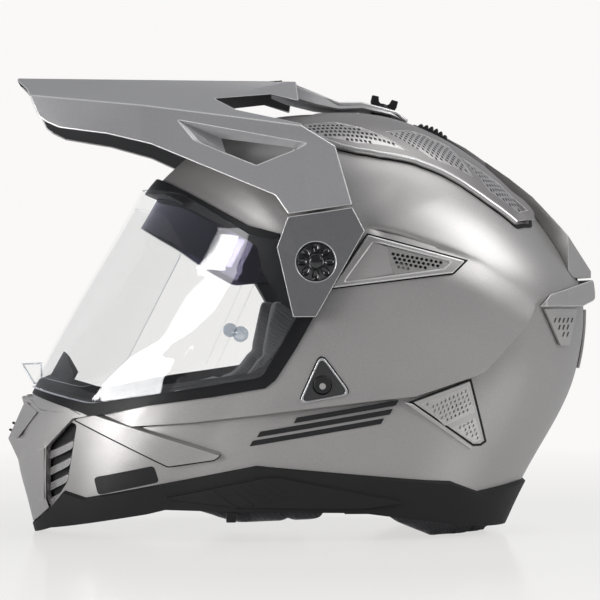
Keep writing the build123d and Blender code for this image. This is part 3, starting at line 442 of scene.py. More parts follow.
class Finish(Enum):
    """The finishes of the helmet, each with the record's slot that it stands for."""

    SHELL = (Lacquer("shell_lacquer", (0.335, 0.325, 0.320)), "painted_shell")
    COVER = (Lacquer("cover_lacquer", (0.385, 0.374, 0.368)), "painted_cover")
    CROWN = (Lacquer("crown_lacquer", (0.235, 0.225, 0.222)), "painted_cover")
    PEAK = (Lacquer("peak_lacquer", (0.355, 0.351, 0.358)), "painted_peak")
    POD = (Lacquer("pod_lacquer", (0.160, 0.160, 0.167)), "painted_peak")
    UNDER = (Moulded("peak_underside", (0.040, 0.040, 0.042), 0.6), "black_plastic")
    TRIM = (Moulded("skirt_rubber", (0.0125, 0.0125, 0.013), 0.62, gloss=0.22), "trim_rubber")
    GASKET = (Moulded("port_rubber", (0.008, 0.008, 0.009), 0.45, gloss=0.2), "black_rubber")
    PLASTIC = (Moulded("matt_plastic", (0.010, 0.010, 0.011), 0.38, gloss=0.35), "black_plastic")
    GLOSS = (Moulded("polished_plastic", (0.006, 0.006, 0.007), 0.12, 900.0, 0.00001, 0.1, 0.6), "gloss_black")
    MESH = (Lacquer("mesh_silver", (0.42, 0.41, 0.40), metallic=0.75, roughness=0.34), "silver_mesh")
    SLATS = (Lacquer("slat_silver", (0.40, 0.39, 0.385), metallic=0.7, roughness=0.3), "silver_slats")
    CLEAR = (Clear("clear_sheet", (0.996, 0.997, 0.998), (0.96, 0.96, 0.97), 0.004, 1.4, 0.045), "clear_visor")
    INSERT = (Clear("insert_sheet", (0.998, 0.998, 0.999), (0.96, 0.96, 0.97), 0.0, 1.25, 0.02), "clear_visor")
    EDGE = (Clear("clear_edge", (0.80, 0.84, 0.88), (0.95, 0.96, 1.0), 0.25, 1.5, 0.5), "clear_visor")
    TINT = (Clear("tinted_sheet", (0.20, 0.19, 0.26), (0.50, 0.46, 0.66), 0.05, 1.5, 0.5), "tinted_visor")
    FOAM = (Foam("bead_foam", (0.030, 0.030, 0.034)), "liner_foam")
    LINING = (Fabric("lining_cloth", (0.030, 0.030, 0.034)), "lining_fabric")
    WEBBING = (Fabric("strap_webbing", (0.020, 0.020, 0.022), 1400.0, 0.0003, 0.1), "webbing")
    RED = (Fabric("tab_cloth", (0.42, 0.03, 0.03), 1400.0, 0.0002, 0.1), "red_tab")
    STEEL = (Metal("polished_steel", (0.52, 0.52, 0.53)), "buckle_steel")
    RAIL = (Lacquer("rail_lacquer", (0.46, 0.455, 0.45), 0.10, 0.7, 0.30), "painted_cover")
    # Painted highlight: a lighter copy of the cover lacquer, laid on bevelled edges so they show as bright highlight
    # lines.
    PAINTED_HIGHLIGHT = (Lacquer("painted_highlight_edge", (0.60, 0.595, 0.59), 0.08, 0.5, 0.30), "painted_cover")
    MARK = (Moulded("dark_mark", (0.013, 0.013, 0.014), 0.42, gloss=0.25), "gloss_black")

    @property
    def slot(self) -> str:
        """The record's slot."""
        return self.value[1]

    def material(self) -> Material:
        """The finish's material, made the first time it is asked for."""
        return bpy.data.materials.get(self.value[0].name) or self.value[0].make()


# Shapes on the body form


@dataclass(frozen=True)
class BodyForm:
    """The helmet's body form: curves about the pivot that shrink towards it as they near the flank.

    A place on one side is a point of a round chart: its angle is the angle about the pivot in the side
    view, and its distance from the chart's middle is 1 in the middle plane and 0 on the flank.
    """

    length: float = 391.0
    height: float = 300.0
    half_width: float = 122.0
    pivot_shares: tuple[float, float] = (0.004, 0.591)
    cap_angle: float = 81.0
    samples: int = 3600
    silhouette_shares: Shares = (
        (0.480, 0.500, 2.35), (0.476, 0.410, 2.35), (0.460, 0.323, 2.35), (0.431, 0.242, 2.35),
        (0.393, 0.157, 2.35), (0.362, 0.081, 2.35), (0.306, -0.071, 2.30), (0.168, -0.249, 2.30),
        (0.007, -0.311, 2.30), (-0.175, -0.280, 2.30), (-0.335, -0.170, 2.10), (-0.439, -0.036, 2.10),
        (-0.462, 0.067, 2.10), (-0.481, 0.178, 1.95), (-0.478, 0.234, 1.95), (-0.454, 0.307, 1.95),
        (-0.425, 0.378, 1.95), (-0.349, 0.549, 1.95), (-0.272, 0.716, 2.10), (-0.258, 0.747, 2.10),
        (-0.223, 0.797, 2.10), (-0.175, 0.850, 2.20), (-0.106, 0.897, 2.20), (-0.021, 0.921, 2.20),
        (0.048, 0.924, 2.25), (0.117, 0.918, 2.25), (0.186, 0.894, 2.25), (0.243, 0.860, 2.25),
        (0.313, 0.797, 2.35), (0.384, 0.718, 2.35), (0.431, 0.647, 2.35), (0.466, 0.572, 2.35),
    )

    @cached_property
    def pivot(self) -> Array:
        """The pivot's place in the side view."""
        return self.spots(self.pivot_shares)

    @cached_property
    def cap(self) -> float:
        """How much of the half width the flat flank reaches."""
        return math.sin(math.radians(self.cap_angle))

    @cached_property
    def rays(self) -> tuple[Array, Array, Array]:
        """Angle, reach and fullness of the silhouette, from a periodic cubic spline through its points.

        The spline's second slopes solve, at each point, the usual equation between neighbours: the steps
        times the slopes on both sides equal six times the change of the chord's slope.

        Returns:
            The three as arrays over one turn.
        """
        rows = np.array(self.silhouette_shares)
        places = rows[:, :2] * (self.length, self.height)
        steps = np.hypot(*(np.roll(places, -1, 0) - places).T)
        count = len(places)
        before = np.roll(steps, 1)
        index = np.arange(count)
        matrix = np.zeros((count, count))
        matrix[index, index] = 2 * (steps + before)
        matrix[index, (index + 1) % count] = steps
        matrix[index, index - 1] = before
        rise = (np.roll(places, -1, 0) - places) / steps[:, None]
        bend = np.linalg.solve(matrix, 6 * (rise - np.roll(rise, 1, 0)))
        along = np.concatenate([[0.0], np.cumsum(steps)])
        t = np.linspace(0, along[-1], self.samples, endpoint=False)
        i = np.searchsorted(along, t, "right") - 1
        h = steps[i][:, None]
        left, right = (along[i + 1] - t)[:, None], (t - along[i])[:, None]
        after = (i + 1) % count
        line = (bend[i] * left ** 3 + bend[after] * right ** 3) / (6 * h)
        line += (places[i] / h - bend[i] * h / 6) * left + (places[after] / h - bend[after] * h / 6) * right
        full = (rows[i, 2] * left[:, 0] + rows[after, 2] * right[:, 0]) / h[:, 0]
        dx, dz = line[:, 0] - self.pivot[0], line[:, 1] - self.pivot[1]
        order = np.argsort(np.arctan2(dz, dx))
        return np.arctan2(dz, dx)[order], np.hypot(dx, dz)[order], full[order]

    def reach(self, angle: Array) -> Array:
        """How far the silhouette lies from the pivot at an angle."""
        return np.interp(angle, self.rays[0], self.rays[1], period=2 * math.pi)

    def fullness(self, angle: Array) -> Array:
        """The exponent of the cross curve at an angle."""
        return np.interp(angle, self.rays[0], self.rays[2], period=2 * math.pi)

    def chart(self, x: Array, z: Array, off: float = 0.0) -> Array:
        """The chart points of side-view places on the form grown by off; places outside it lie past 1.

        Args:
            x, z: the places.
            off: the growth in millimetres.

        Returns:
            The chart points, as rows.
        """
        dx, dz = x - self.pivot[0], z - self.pivot[1]
        angle = np.arctan2(dz, dx)
        full = self.fullness(angle)
        share = np.hypot(dx, dz) / (self.reach(angle) + off)
        sine = (1 - np.clip(share, 0, 1) ** full) ** (1 / full)
        rho = np.where(share < 1, 1 - np.arcsin(np.clip(sine, 0, 1)) / (math.pi / 2), 1.02 + 0.2 * (share - 1))
        return np.stack([rho * np.cos(angle), rho * np.sin(angle)], -1)

    def chart_of_plan(self, x: Array, y: Array, off: float = 0.0) -> Array:
        """The chart points of plan-view places on the upper half, found by halving the angle's range.

        Args:
            x, y: the places.
            off: the growth in millimetres.

        Returns:
            The chart points, as rows.
        """
        phi = np.arcsin(np.clip(np.abs(y) / (self.half_width + off), 0, 1))
        low, high = np.zeros_like(phi), np.full_like(phi, math.pi)
        for _ in range(40):
            angle = (low + high) / 2
            ahead = self.side(phi, angle, off)[0] < x
            high = np.where(ahead, angle, high)
            low = np.where(ahead, low, angle)
        rho = 1 - phi / (math.pi / 2)
        return np.stack([rho * np.cos(angle), rho * np.sin(angle)], -1)

    def side(self, phi: Array, angle: Array, off: Array) -> tuple[Array, Array]:
        """The side-view place at an angle across (phi) and an angle about the pivot.

        Args:
            phi, angle: the two angles.
            off: the form's growth there.

        Returns:
            X and Z.
        """
        full = self.fullness(angle)
        share = (1 - np.sin(phi) ** full) ** (1 / full) * (self.reach(angle) + off)
        return self.pivot[0] + share * np.cos(angle), self.pivot[1] + share * np.sin(angle)

    def polar(self, chart: Array) -> tuple[Array, Array]:
        """The angle across and the angle about the pivot of chart points."""
        phi = (1 - np.minimum(np.hypot(chart[:, 0], chart[:, 1]), 1)) * math.pi / 2
        return phi, np.arctan2(chart[:, 1], chart[:, 0])

    def points(self, chart: Array, off: Array | float) -> Array:
        """The places in space, on the wearer's left, of chart points on the form grown by off.

        Args:
            chart: the chart points.
            off: the growth in millimetres.

        Returns:
            The places, as rows.
        """
        phi, angle = self.polar(chart)
        off = np.broadcast_to(off, phi.shape)
        x, z = self.side(phi, angle, off)
        y = -(self.half_width + off) * np.minimum(np.sin(phi), self.cap)
        return np.stack([x, y, z], -1)

    def spots(self, shares: Shares | tuple[float, float]) -> Array:
        """Side-view places of a table of shares, or of one pair."""
        return np.array(shares) * (self.length, self.height)

    def plan_spots(self, shares: Shares) -> Array:
        """Plan-view places of a table of shares of the length and the half width."""
        return np.array(shares) * (self.length, self.half_width)

    def trace(self, places: Array, off: float, step: float = 0.015, plan: bool = False,
              closed: bool = True) -> Array:
        """Draw a line of straight runs on the chart, with points a step apart and one at each corner.

        Args:
            places: corners in the side view, or in the plan view.
            off: how far out the line lies on the form.
            step: the distance between points on the chart.
            plan: whether the corners are in the plan view.
            closed: whether the line joins its ends.

        Returns:
            The chart points.
        """
        ends = np.roll(places, -1, 0) if closed else places[1:]
        starts = places if closed else places[:-1]
        fine = np.linspace(0, 1, 3001)
        runs = []
        for start, end in zip(starts, ends):
            line = start + (end - start) * fine[:, None]
            flat = (self.chart_of_plan if plan else self.chart)(line[:, 0], line[:, 1], off)
            gone = np.concatenate([[0.0], np.cumsum(np.hypot(*np.diff(flat, axis=0).T))])
            count = max(1, int(math.ceil(gone[-1] / step)))
            runs.append(flat[np.searchsorted(gone, gone[-1] * np.arange(count) / count)])
        if not closed:
            runs.append(flat[-1:])
        return np.concatenate(runs)


FORM = BodyForm()


def rounded(places: Array, radius: float, points: int = 5) -> Array:
    """Cut each corner of a closed outline with a short parabola.

    Args:
        places: the outline's corners.
        radius: how far from its corner a parabola starts, on a side long enough.
        points: the number of points on it.

    Returns:
        The rounded outline.
    """
    before, after = np.roll(places, 1, 0) - places, np.roll(places, -1, 0) - places
    near = np.minimum(np.hypot(*before.T), np.hypot(*after.T)) * 0.45
    reach = np.minimum(near, radius)[:, None]
    start = places + before / np.hypot(*before.T)[:, None] * reach
    end = places + after / np.hypot(*after.T)[:, None] * reach
    t = np.linspace(0, 1, points)[None, :, None]
    arcs = start[:, None] * (1 - t) ** 2 + 2 * places[:, None] * t * (1 - t) + end[:, None] * t ** 2
    return arcs.reshape(-1, 2)


def full_turn(count: int) -> Array:
    """Angles spread evenly over a full turn, from 0."""
    return np.linspace(0, 2 * math.pi, count, endpoint=False)


def ring(x: float, z: float, radius: float, points: int = 32) -> Array:
    """A circle in the side view, or on the chart."""
    turn = full_turn(points)
    return np.stack([x + radius * np.cos(turn), z + radius * np.sin(turn)], -1)


def inside(points: Array, outline: Array) -> Array:
    """Which points lie inside a closed outline, by counting its crossings to the right of each.

    Args:
        points: the places, as rows.
        outline: its corners in order.

    Returns:
        True for each place inside.
    """
    x1, y1 = outline.T
    x2, y2 = np.roll(outline, -1, 0).T
    rise = np.where(y2 == y1, 1e-12, y2 - y1)
    result = np.zeros(len(points), bool)
    for start in range(0, len(points), 4000):
        x, y = points[start:start + 4000, 0:1], points[start:start + 4000, 1:2]
        crosses = ((y1 > y) != (y2 > y)) & (x < x1 + (y - y1) * (x2 - x1) / rise)
        result[start:start + 4000] = crosses.sum(1) % 2 == 1
    return result


def line_distance(x: Array, z: Array, line: Array) -> Array:
    """The distance from side-view places to a line of straight runs.

    Args:
        x, z: the places.
        line: its corners in order.

    Returns:
        Millimetres.
    """
    best = np.full(np.shape(x), np.inf)
    for start, end in zip(line[:-1], line[1:]):
        run = end - start
        t = np.clip(((x - start[0]) * run[0] + (z - start[1]) * run[1]) / (run @ run), 0, 1)
        best = np.minimum(best, np.hypot(x - start[0] - t * run[0], z - start[1] - t * run[1]))
    return best


def ease(value: Array) -> Array:
    """A smooth step from 0 to 1."""
    value = np.clip(value, 0, 1)
    return value * value * (3 - 2 * value)


@dataclass
class Patch:
    """A region of the chart, cut into triangles.

    Attributes:
        keep: outlines whose common inside is kept.
        cut: outlines whose inside is cut away.
        lines: lines that the triangles' edges follow.
        step: the spacing of the inner points on the chart.
    """

    keep: list[Array]
    cut: list[Array] = field(default_factory=list)
    lines: list[Array] = field(default_factory=list)
    step: float = 0.02

    def grid(self) -> Array:
        """Evenly spread points over the chart, in rows that are shifted by half a step.

        Returns:
            The chart points, as rows.
        """
        row = self.step * math.sqrt(0.75)
        low = np.max([outline.min(0) for outline in self.keep], 0)
        high = np.min([outline.max(0) for outline in self.keep], 0)
        b = np.arange(low[1], high[1] + row, row)
        a = np.arange(low[0], high[0] + self.step, self.step)
        aa, bb = np.meshgrid(a, b)
        aa = aa + (np.arange(len(b)) % 2)[:, None] * self.step / 2
        points = np.stack([aa.ravel(), bb.ravel()], -1)
        return points[self.holds(points)]

    def holds(self, points: Array) -> Array:
        """Which points lie in the region.

        Args:
            points: chart points, as rows.

        Returns:
            True for each point in it.
        """
        chosen = np.hypot(points[:, 0], points[:, 1]) < 1
        for outline in self.keep:
            chosen &= inside(points, outline)
        for outline in self.cut:
            chosen &= ~inside(points, outline)
        return chosen

    def triangles(self) -> tuple[Array, Array]:
        """Cut the region into triangles whose edges follow every outline.

        Returns:
            The chart points and the triangles' corners.
        """
        loops = list(self.keep) + list(self.cut)
        if any(np.hypot(*outline.T).max() > 1 for outline in self.keep):
            loops.append(ring(0.0, 0.0, 1.0, 900))
        points, edges, count = [], [], 0
        for line, closed in [(loop, True) for loop in loops] + [(line, False) for line in self.lines]:
            index = np.arange(len(line) if closed else len(line) - 1)
            edges.append(np.stack([index, (index + 1) % len(line)], -1) + count)
            points.append(line)
            count += len(line)
        border = np.concatenate(points)
        grid = self.grid()
        clear = np.ones(len(grid), bool)
        for start in range(0, len(grid), 2000):
            gap = grid[start:start + 2000, None] - border[None]
            clear[start:start + 2000] = np.hypot(gap[..., 0], gap[..., 1]).min(1) > self.step * 0.6
        every = np.concatenate([border, grid[clear]])
        made = delaunay_2d_cdt(every.tolist(), np.concatenate(edges).tolist(), [], 0, 1e-7, False)
        chart = np.array([tuple(point) for point in made[0]])
        corners = np.array([face for face in made[2] if len(face) == 3])
        corners = corners[self.holds(chart[corners].mean(1))]
        used, back = np.unique(corners, return_inverse=True)
        return chart[used], back.reshape(-1, 3)


# Mesh makers


def linked(name: str, data: ID) -> Object:
    """A new object of the scene that shows a mesh, a lamp or a camera.

    Args:
        name: its name.
        data: what it shows.

    Returns:
        The object.
    """
    thing = bpy.data.objects.new(name, data)
    bpy.context.scene.collection.objects.link(thing)
    return thing


def gather(items: bpy.types.bpy_prop_collection, what: str) -> Array:
    """A property of three numbers of each of a mesh's items, as rows.

    Args:
        items: the points, or the points' normals.
        what: the property's name.

    Returns:
        One row for each item.
    """
    flat = np.empty(3 * len(items), np.float32)
    items.foreach_get(what, flat)
    return flat.reshape(-1, 3).astype(float)


def merged(mesh: Mesh, near: float, flat: float = 0.0, outwards: bool = False) -> None:
    """Merge a mesh's doubles in place.

    Args:
        mesh: the mesh.
        near: how near doubles are, in millimetres.
        flat: the turn in degrees under which faces are joined, or 0 to leave them.
        outwards: whether its faces are turned outwards.
    """
    net = bmesh.new()
    net.from_mesh(mesh)
    bmesh.ops.remove_doubles(net, verts=net.verts, dist=near * MM)
    if flat:
        bmesh.ops.dissolve_limit(net, angle_limit=math.radians(flat), verts=net.verts, edges=net.edges)
    if outwards:
        bmesh.ops.recalc_face_normals(net, faces=net.faces)
    net.to_mesh(mesh)
    net.free()


def shown(piece: Object) -> Mesh:
    """A copy of the mesh that a piece's modifiers show, under the piece's name.

    Args:
        piece: the piece.

    Returns:
        The new mesh.
    """
    bpy.context.view_layer.update()
    mesh = bpy.data.meshes.new_from_object(piece.evaluated_get(bpy.context.evaluated_depsgraph_get()))
    mesh.name = piece.name
    return mesh


def new_piece(name: str, points: Array, faces: Sequence[Sequence[int]], finish: Finish) -> Object:
    """Make a mesh object from points in millimetres, smooth, with its finish.

    Args:
        name: the piece's name.
        points: its points, as rows.
        faces: each face's points.
        finish: the finish.

    Returns:
        The piece.
    """
    mesh = bpy.data.meshes.new(name)
    mesh.from_pydata((points * MM).tolist(), [], [tuple(face) for face in faces])
    mesh.validate()
    mesh.shade_smooth()
    mesh.materials.append(finish.material())
    piece = linked(name, mesh)
    return piece


def closed_piece(name: str, points: Array, faces: Sequence[Sequence[int]], finish: Finish,
                 sharp: float | None = None) -> Object:
    """Make a piece whose doubles are merged and whose faces are turned outwards.

    Args:
        name: the piece's name.
        points: its points in millimetres.
        faces: its faces, with every end shut.
        finish: its finish.
        sharp: the turn in degrees past which an edge is sharp, or None for a smooth piece.

    Returns:
        The object, not yet riding on a body.
    """
    piece = new_piece(name, points, faces, finish)
    merged(piece.data, DOUBLES, outwards=True)
    if sharp is not None:
        piece.data.set_sharp_from_angle(angle=math.radians(sharp))
    return piece


def plate(name: str, outer: Array, inner: Array, finish: Finish, sharp: float) -> Object:
    """Make a closed plate between two rows of corners that face each other, as closed_piece does.

    Args:
        name: the piece's name.
        outer, inner: the rows of corners.
        finish: the finish.
        sharp: as in closed_piece.

    Returns:
        The piece.
    """
    count = len(outer)
    ends = [list(range(count)), list(range(2 * count - 1, count - 1, -1))]
    return closed_piece(name, np.concatenate([outer, inner]), tube(2, count)[:count] + ends, finish, sharp)


def bevelled(piece: Object, width: float, angle: float = 40.0, edge: Finish | None = None) -> Object:
    """Round a piece's edges that turn by more than an angle, and keep its flats flat.

    Args:
        piece: the piece.
        width: the rounding's width in millimetres.
        angle: the least turn of an edge that is rounded.
        edge: a finish of its own for the rounded strips.

    Returns:
        The piece.
    """
    bevel = piece.modifiers.new("rounded_edges", "BEVEL")
    # With the painted highlight finish, the rounded strips carry a painted highlight line.
    if edge:
        piece.data.materials.append(edge.material())
        bevel.material = len(piece.data.materials) - 1
    bevel.width = width * MM
    bevel.segments = 2
    bevel.limit_method = "ANGLE"
    bevel.angle_limit = math.radians(angle)
    bevel.harden_normals = True
    bevel.use_clamp_overlap = True
    bevel.miter_outer = "MITER_ARC"
    return piece


def settle(value: Height, x: Array, z: Array) -> Array:
    """A height as an array."""
    return value(x, z) if callable(value) else np.full(x.shape, float(value))


@dataclass
class Slab:
    """A closed piece between two depths of the body form, over a patch of the chart."""

    name: str
    patch: Patch
    low: Height
    high: Height
    finish: Finish
    side: Side = Side.BOTH
    bevel: float = 0.0
    rim_finish: Finish | None = None
    edge: Finish | None = None
    sharp: float = 50.0
    near_middle: float = 0.9996

    def lay(self, *nodes: str, body: str = "root") -> None:
        """Make the piece and let it ride on a body, in the place of nodes."""
        place(self.build(), body, *nodes)

    def build(self) -> Object:
        """Make the piece.

        Each chart point gives one outer and one inner place; edges with one triangle get a wall, apart from
        those in the middle plane, where the two halves meet.

        Returns:
            The object, not yet riding on a body.
        """
        chart, corners = self.patch.triangles()
        rho = np.hypot(chart[:, 0], chart[:, 1])
        seam = rho > self.near_middle
        chart = chart / np.where(seam, rho, 1.0)[:, None]
        phi, angle = FORM.polar(chart)
        x, z = FORM.side(phi, angle, 0.0)
        outer = FORM.points(chart, settle(self.high, x, z))
        inner = FORM.points(chart, settle(self.low, x, z))
        corner = outer[corners]
        normal = np.cross(corner[:, 1] - corner[:, 0], corner[:, 2] - corner[:, 0])
        middle = np.array([FORM.pivot[0], 0.0, FORM.pivot[1]])
        if (normal * (corner.mean(1) - middle)).sum() < 0:
            corners = corners[:, ::-1]
        count = len(chart)
        edges = np.concatenate([corners[:, [0, 1]], corners[:, [1, 2]], corners[:, [2, 0]]])
        keys = np.sort(edges, 1)
        _, first, times = np.unique(keys[:, 0] * count + keys[:, 1], return_index=True, return_counts=True)
        border = edges[first[times == 1]]
        if self.side is Side.BOTH:
            border = border[~(seam[border[:, 0]] & seam[border[:, 1]])]
        walls = np.stack([border[:, 1], border[:, 0], border[:, 0] + count, border[:, 1] + count], -1)
        points = np.concatenate([outer, inner])
        triangles = np.concatenate([corners, corners[:, ::-1] + count])
        if self.side is not Side.LEFT:
            mirrored = points * (1, -1, 1)
            if self.side is Side.RIGHT:
                points, triangles, walls = mirrored, triangles[:, ::-1], walls[:, ::-1]
            else:
                both = np.tile(seam, 2)
                index = np.where(both, np.arange(2 * count), 0)
                index[~both] = 2 * count + np.arange((~both).sum())
                points[both, 1] = 0.0
                points = np.concatenate([points, mirrored[~both]])
                triangles = np.concatenate([triangles, index[triangles][:, ::-1]])
                walls = np.concatenate([walls, index[walls][:, ::-1]])
        piece = new_piece(self.name, points, triangles.tolist() + walls.tolist(), self.finish)
        if self.rim_finish:
            piece.data.materials.append(self.rim_finish.material())
            rims = np.zeros(len(piece.data.polygons), np.int32)
            rims[len(triangles):] = 1
            piece.data.polygons.foreach_set("material_index", rims)
        piece.data.set_sharp_from_angle(angle=math.radians(self.sharp))
        if self.bevel:
            bevelled(piece, self.bevel, edge=self.edge)
        return piece


def dress(node: str, finish: Finish, bevel: float = 0.4, angle: float = 28.0, name: str = "",
          edge: Finish | None = None, weld: float = 0.001, flat: float = 0.25) -> Object:
    """Stand a merged, softly edged copy of a node's mesh in its place.

    Args:
        node: the node that the copy replaces.
        finish: its finish.
        bevel: the width of its rounded edges.
        angle: the least turn of an edge that is rounded.
        name: the copy's name, or the node's name with a suffix.
        edge: a finish of its own for the rounded edges.
        weld: how near points are merged, in millimetres.
        flat: the turn in degrees under which faces are joined.

    Returns:
        The copy, riding on the node's body.
    """
    source = frame["nodes"][node]
    mesh = source.data.copy()
    mesh.name = name or node + "_skin"
    merged(mesh, weld, flat)
    mesh.materials.clear()
    mesh.materials.append(finish.material())
    mesh.shade_smooth()
    mesh.set_sharp_from_angle(angle=math.radians(angle))
    piece = linked(mesh.name, mesh)
    if bevel:
        bevelled(piece, bevel, angle, edge=edge)
    return place(piece, source["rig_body"], node)


def place(piece: Object, body: str, *nodes: str) -> Object:
    """Let a piece ride on a body and stand for nodes, and report it.

    Args:
        piece: the piece.
        body: the body.
        nodes: the nodes that it replaces.

    Returns:
        The piece.
    """
    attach(piece, body)
    if nodes:
        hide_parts(*nodes)
    log.info("%s rides on %s", piece.name, body)
    return piece


@dataclass(frozen=True)
class Outlines:
    """Outlines in the side view and in the plan view, as shares of the helmet's sizes."""

    eye_port: Shares = (
        (-0.29, 0.80), (-0.237, 0.772), (-0.211, 0.751), (-0.153, 0.706), (-0.101, 0.667), (-0.052, 0.650),
        (-0.046, 0.600), (-0.026, 0.530), (0.003, 0.478), (-0.027, 0.409), (-0.058, 0.346), (-0.074, 0.329),
        (-0.154, 0.311), (-0.260, 0.292), (-0.345, 0.269), (-0.358, 0.271), (-0.457, 0.312), (-0.55, 0.37),
        (-0.55, 0.80),
    )
    port_light: Shares = (
        (-0.33, 0.765), (-0.229, 0.732), (-0.158, 0.678), (-0.107, 0.641), (-0.086, 0.622), (-0.078, 0.570),
        (-0.050, 0.505), (-0.023, 0.482), (-0.050, 0.421), (-0.081, 0.366), (-0.100, 0.354), (-0.158, 0.343),
        (-0.262, 0.324), (-0.346, 0.303), (-0.362, 0.306), (-0.452, 0.345), (-0.57, 0.39), (-0.57, 0.765),
    )
    visor: Shares = (
        (-0.32, 0.765), (-0.211, 0.741), (-0.101, 0.648), (-0.062, 0.637), (-0.030, 0.655), (0.035, 0.600),
        (0.040, 0.560), (-0.026, 0.472), (-0.080, 0.353), (-0.088, 0.348), (-0.181, 0.328), (-0.354, 0.292),
        (-0.368, 0.293), (-0.456, 0.318), (-0.56, 0.35), (-0.56, 0.765),
    )
    flank: Shares = (
        (0.083, 0.669), (0.146, 0.651), (0.231, 0.617), (0.279, 0.594), (0.317, 0.562), (0.386, 0.518),
        (0.349, 0.449), (0.281, 0.357), (0.261, 0.347), (0.166, 0.307), (0.110, 0.300), (-0.099, 0.267),
        (-0.190, 0.253), (-0.345, 0.238), (-0.380, 0.288), (-0.150, 0.330), (-0.080, 0.350), (-0.045, 0.420),
        (-0.015, 0.478), (0.020, 0.560),
    )
    shell_rim: Shares = (
        (-0.55, 0.030), (-0.440, 0.030), (-0.400, 0.062), (-0.330, 0.072), (-0.089, 0.118), (0.192, 0.090),
        (0.278, 0.070), (0.357, 0.068), (0.55, 0.068), (0.55, -0.40), (-0.55, -0.40),
    )
    relief: Shares = (
        (-0.236, 0.094), (-0.073, 0.140), (-0.051, 0.140), (0.150, 0.085), (0.080, 0.074), (-0.115, 0.078),
    )
    blade: Shares = ((-0.384, 0.256), (-0.351, 0.266), (-0.147, 0.184), (-0.157, 0.175), (-0.231, 0.160))
    louvre: Shares = (
        (-0.431, 0.190), (-0.390, 0.250), (-0.380, 0.245), (-0.396, 0.120), (-0.424, 0.064), (-0.431, 0.080),
    )
    bezel: Shares = ((0.014, 0.396), (0.060, 0.316), (-0.020, 0.297))
    button: tuple[float, float] = (0.016, 0.334)
    side_mesh: Shares = ((0.119, 0.616), (0.212, 0.589), (0.204, 0.583), (0.130, 0.570))
    rear_mesh: Shares = ((0.188, 0.296), (0.254, 0.321), (0.274, 0.224), (0.266, 0.220))
    crown_vent: Shares = (
        (-0.018, 0.500), (-0.012, 0.600), (0.029, 0.722), (0.052, 0.757), (0.078, 0.772), (0.114, 0.767),
        (0.146, 0.745), (0.172, 0.724), (0.220, 0.700), (0.264, 0.687), (0.299, 0.672), (0.345, 0.636),
        (0.374, 0.515), (0.376, 0.430), (0.300, 0.260), (0.170, 0.235), (0.020, 0.330),
    )
    sun_visor: Shares = (
        (-0.30, 0.69), (-0.206, 0.624), (-0.163, 0.585), (-0.109, 0.545), (-0.070, 0.550), (0.020, 0.545),
        (0.045, 0.580), (0.020, 0.650), (-0.06, 0.80), (-0.20, 0.90), (-0.34, 0.80),
    )


LINES = Outlines()


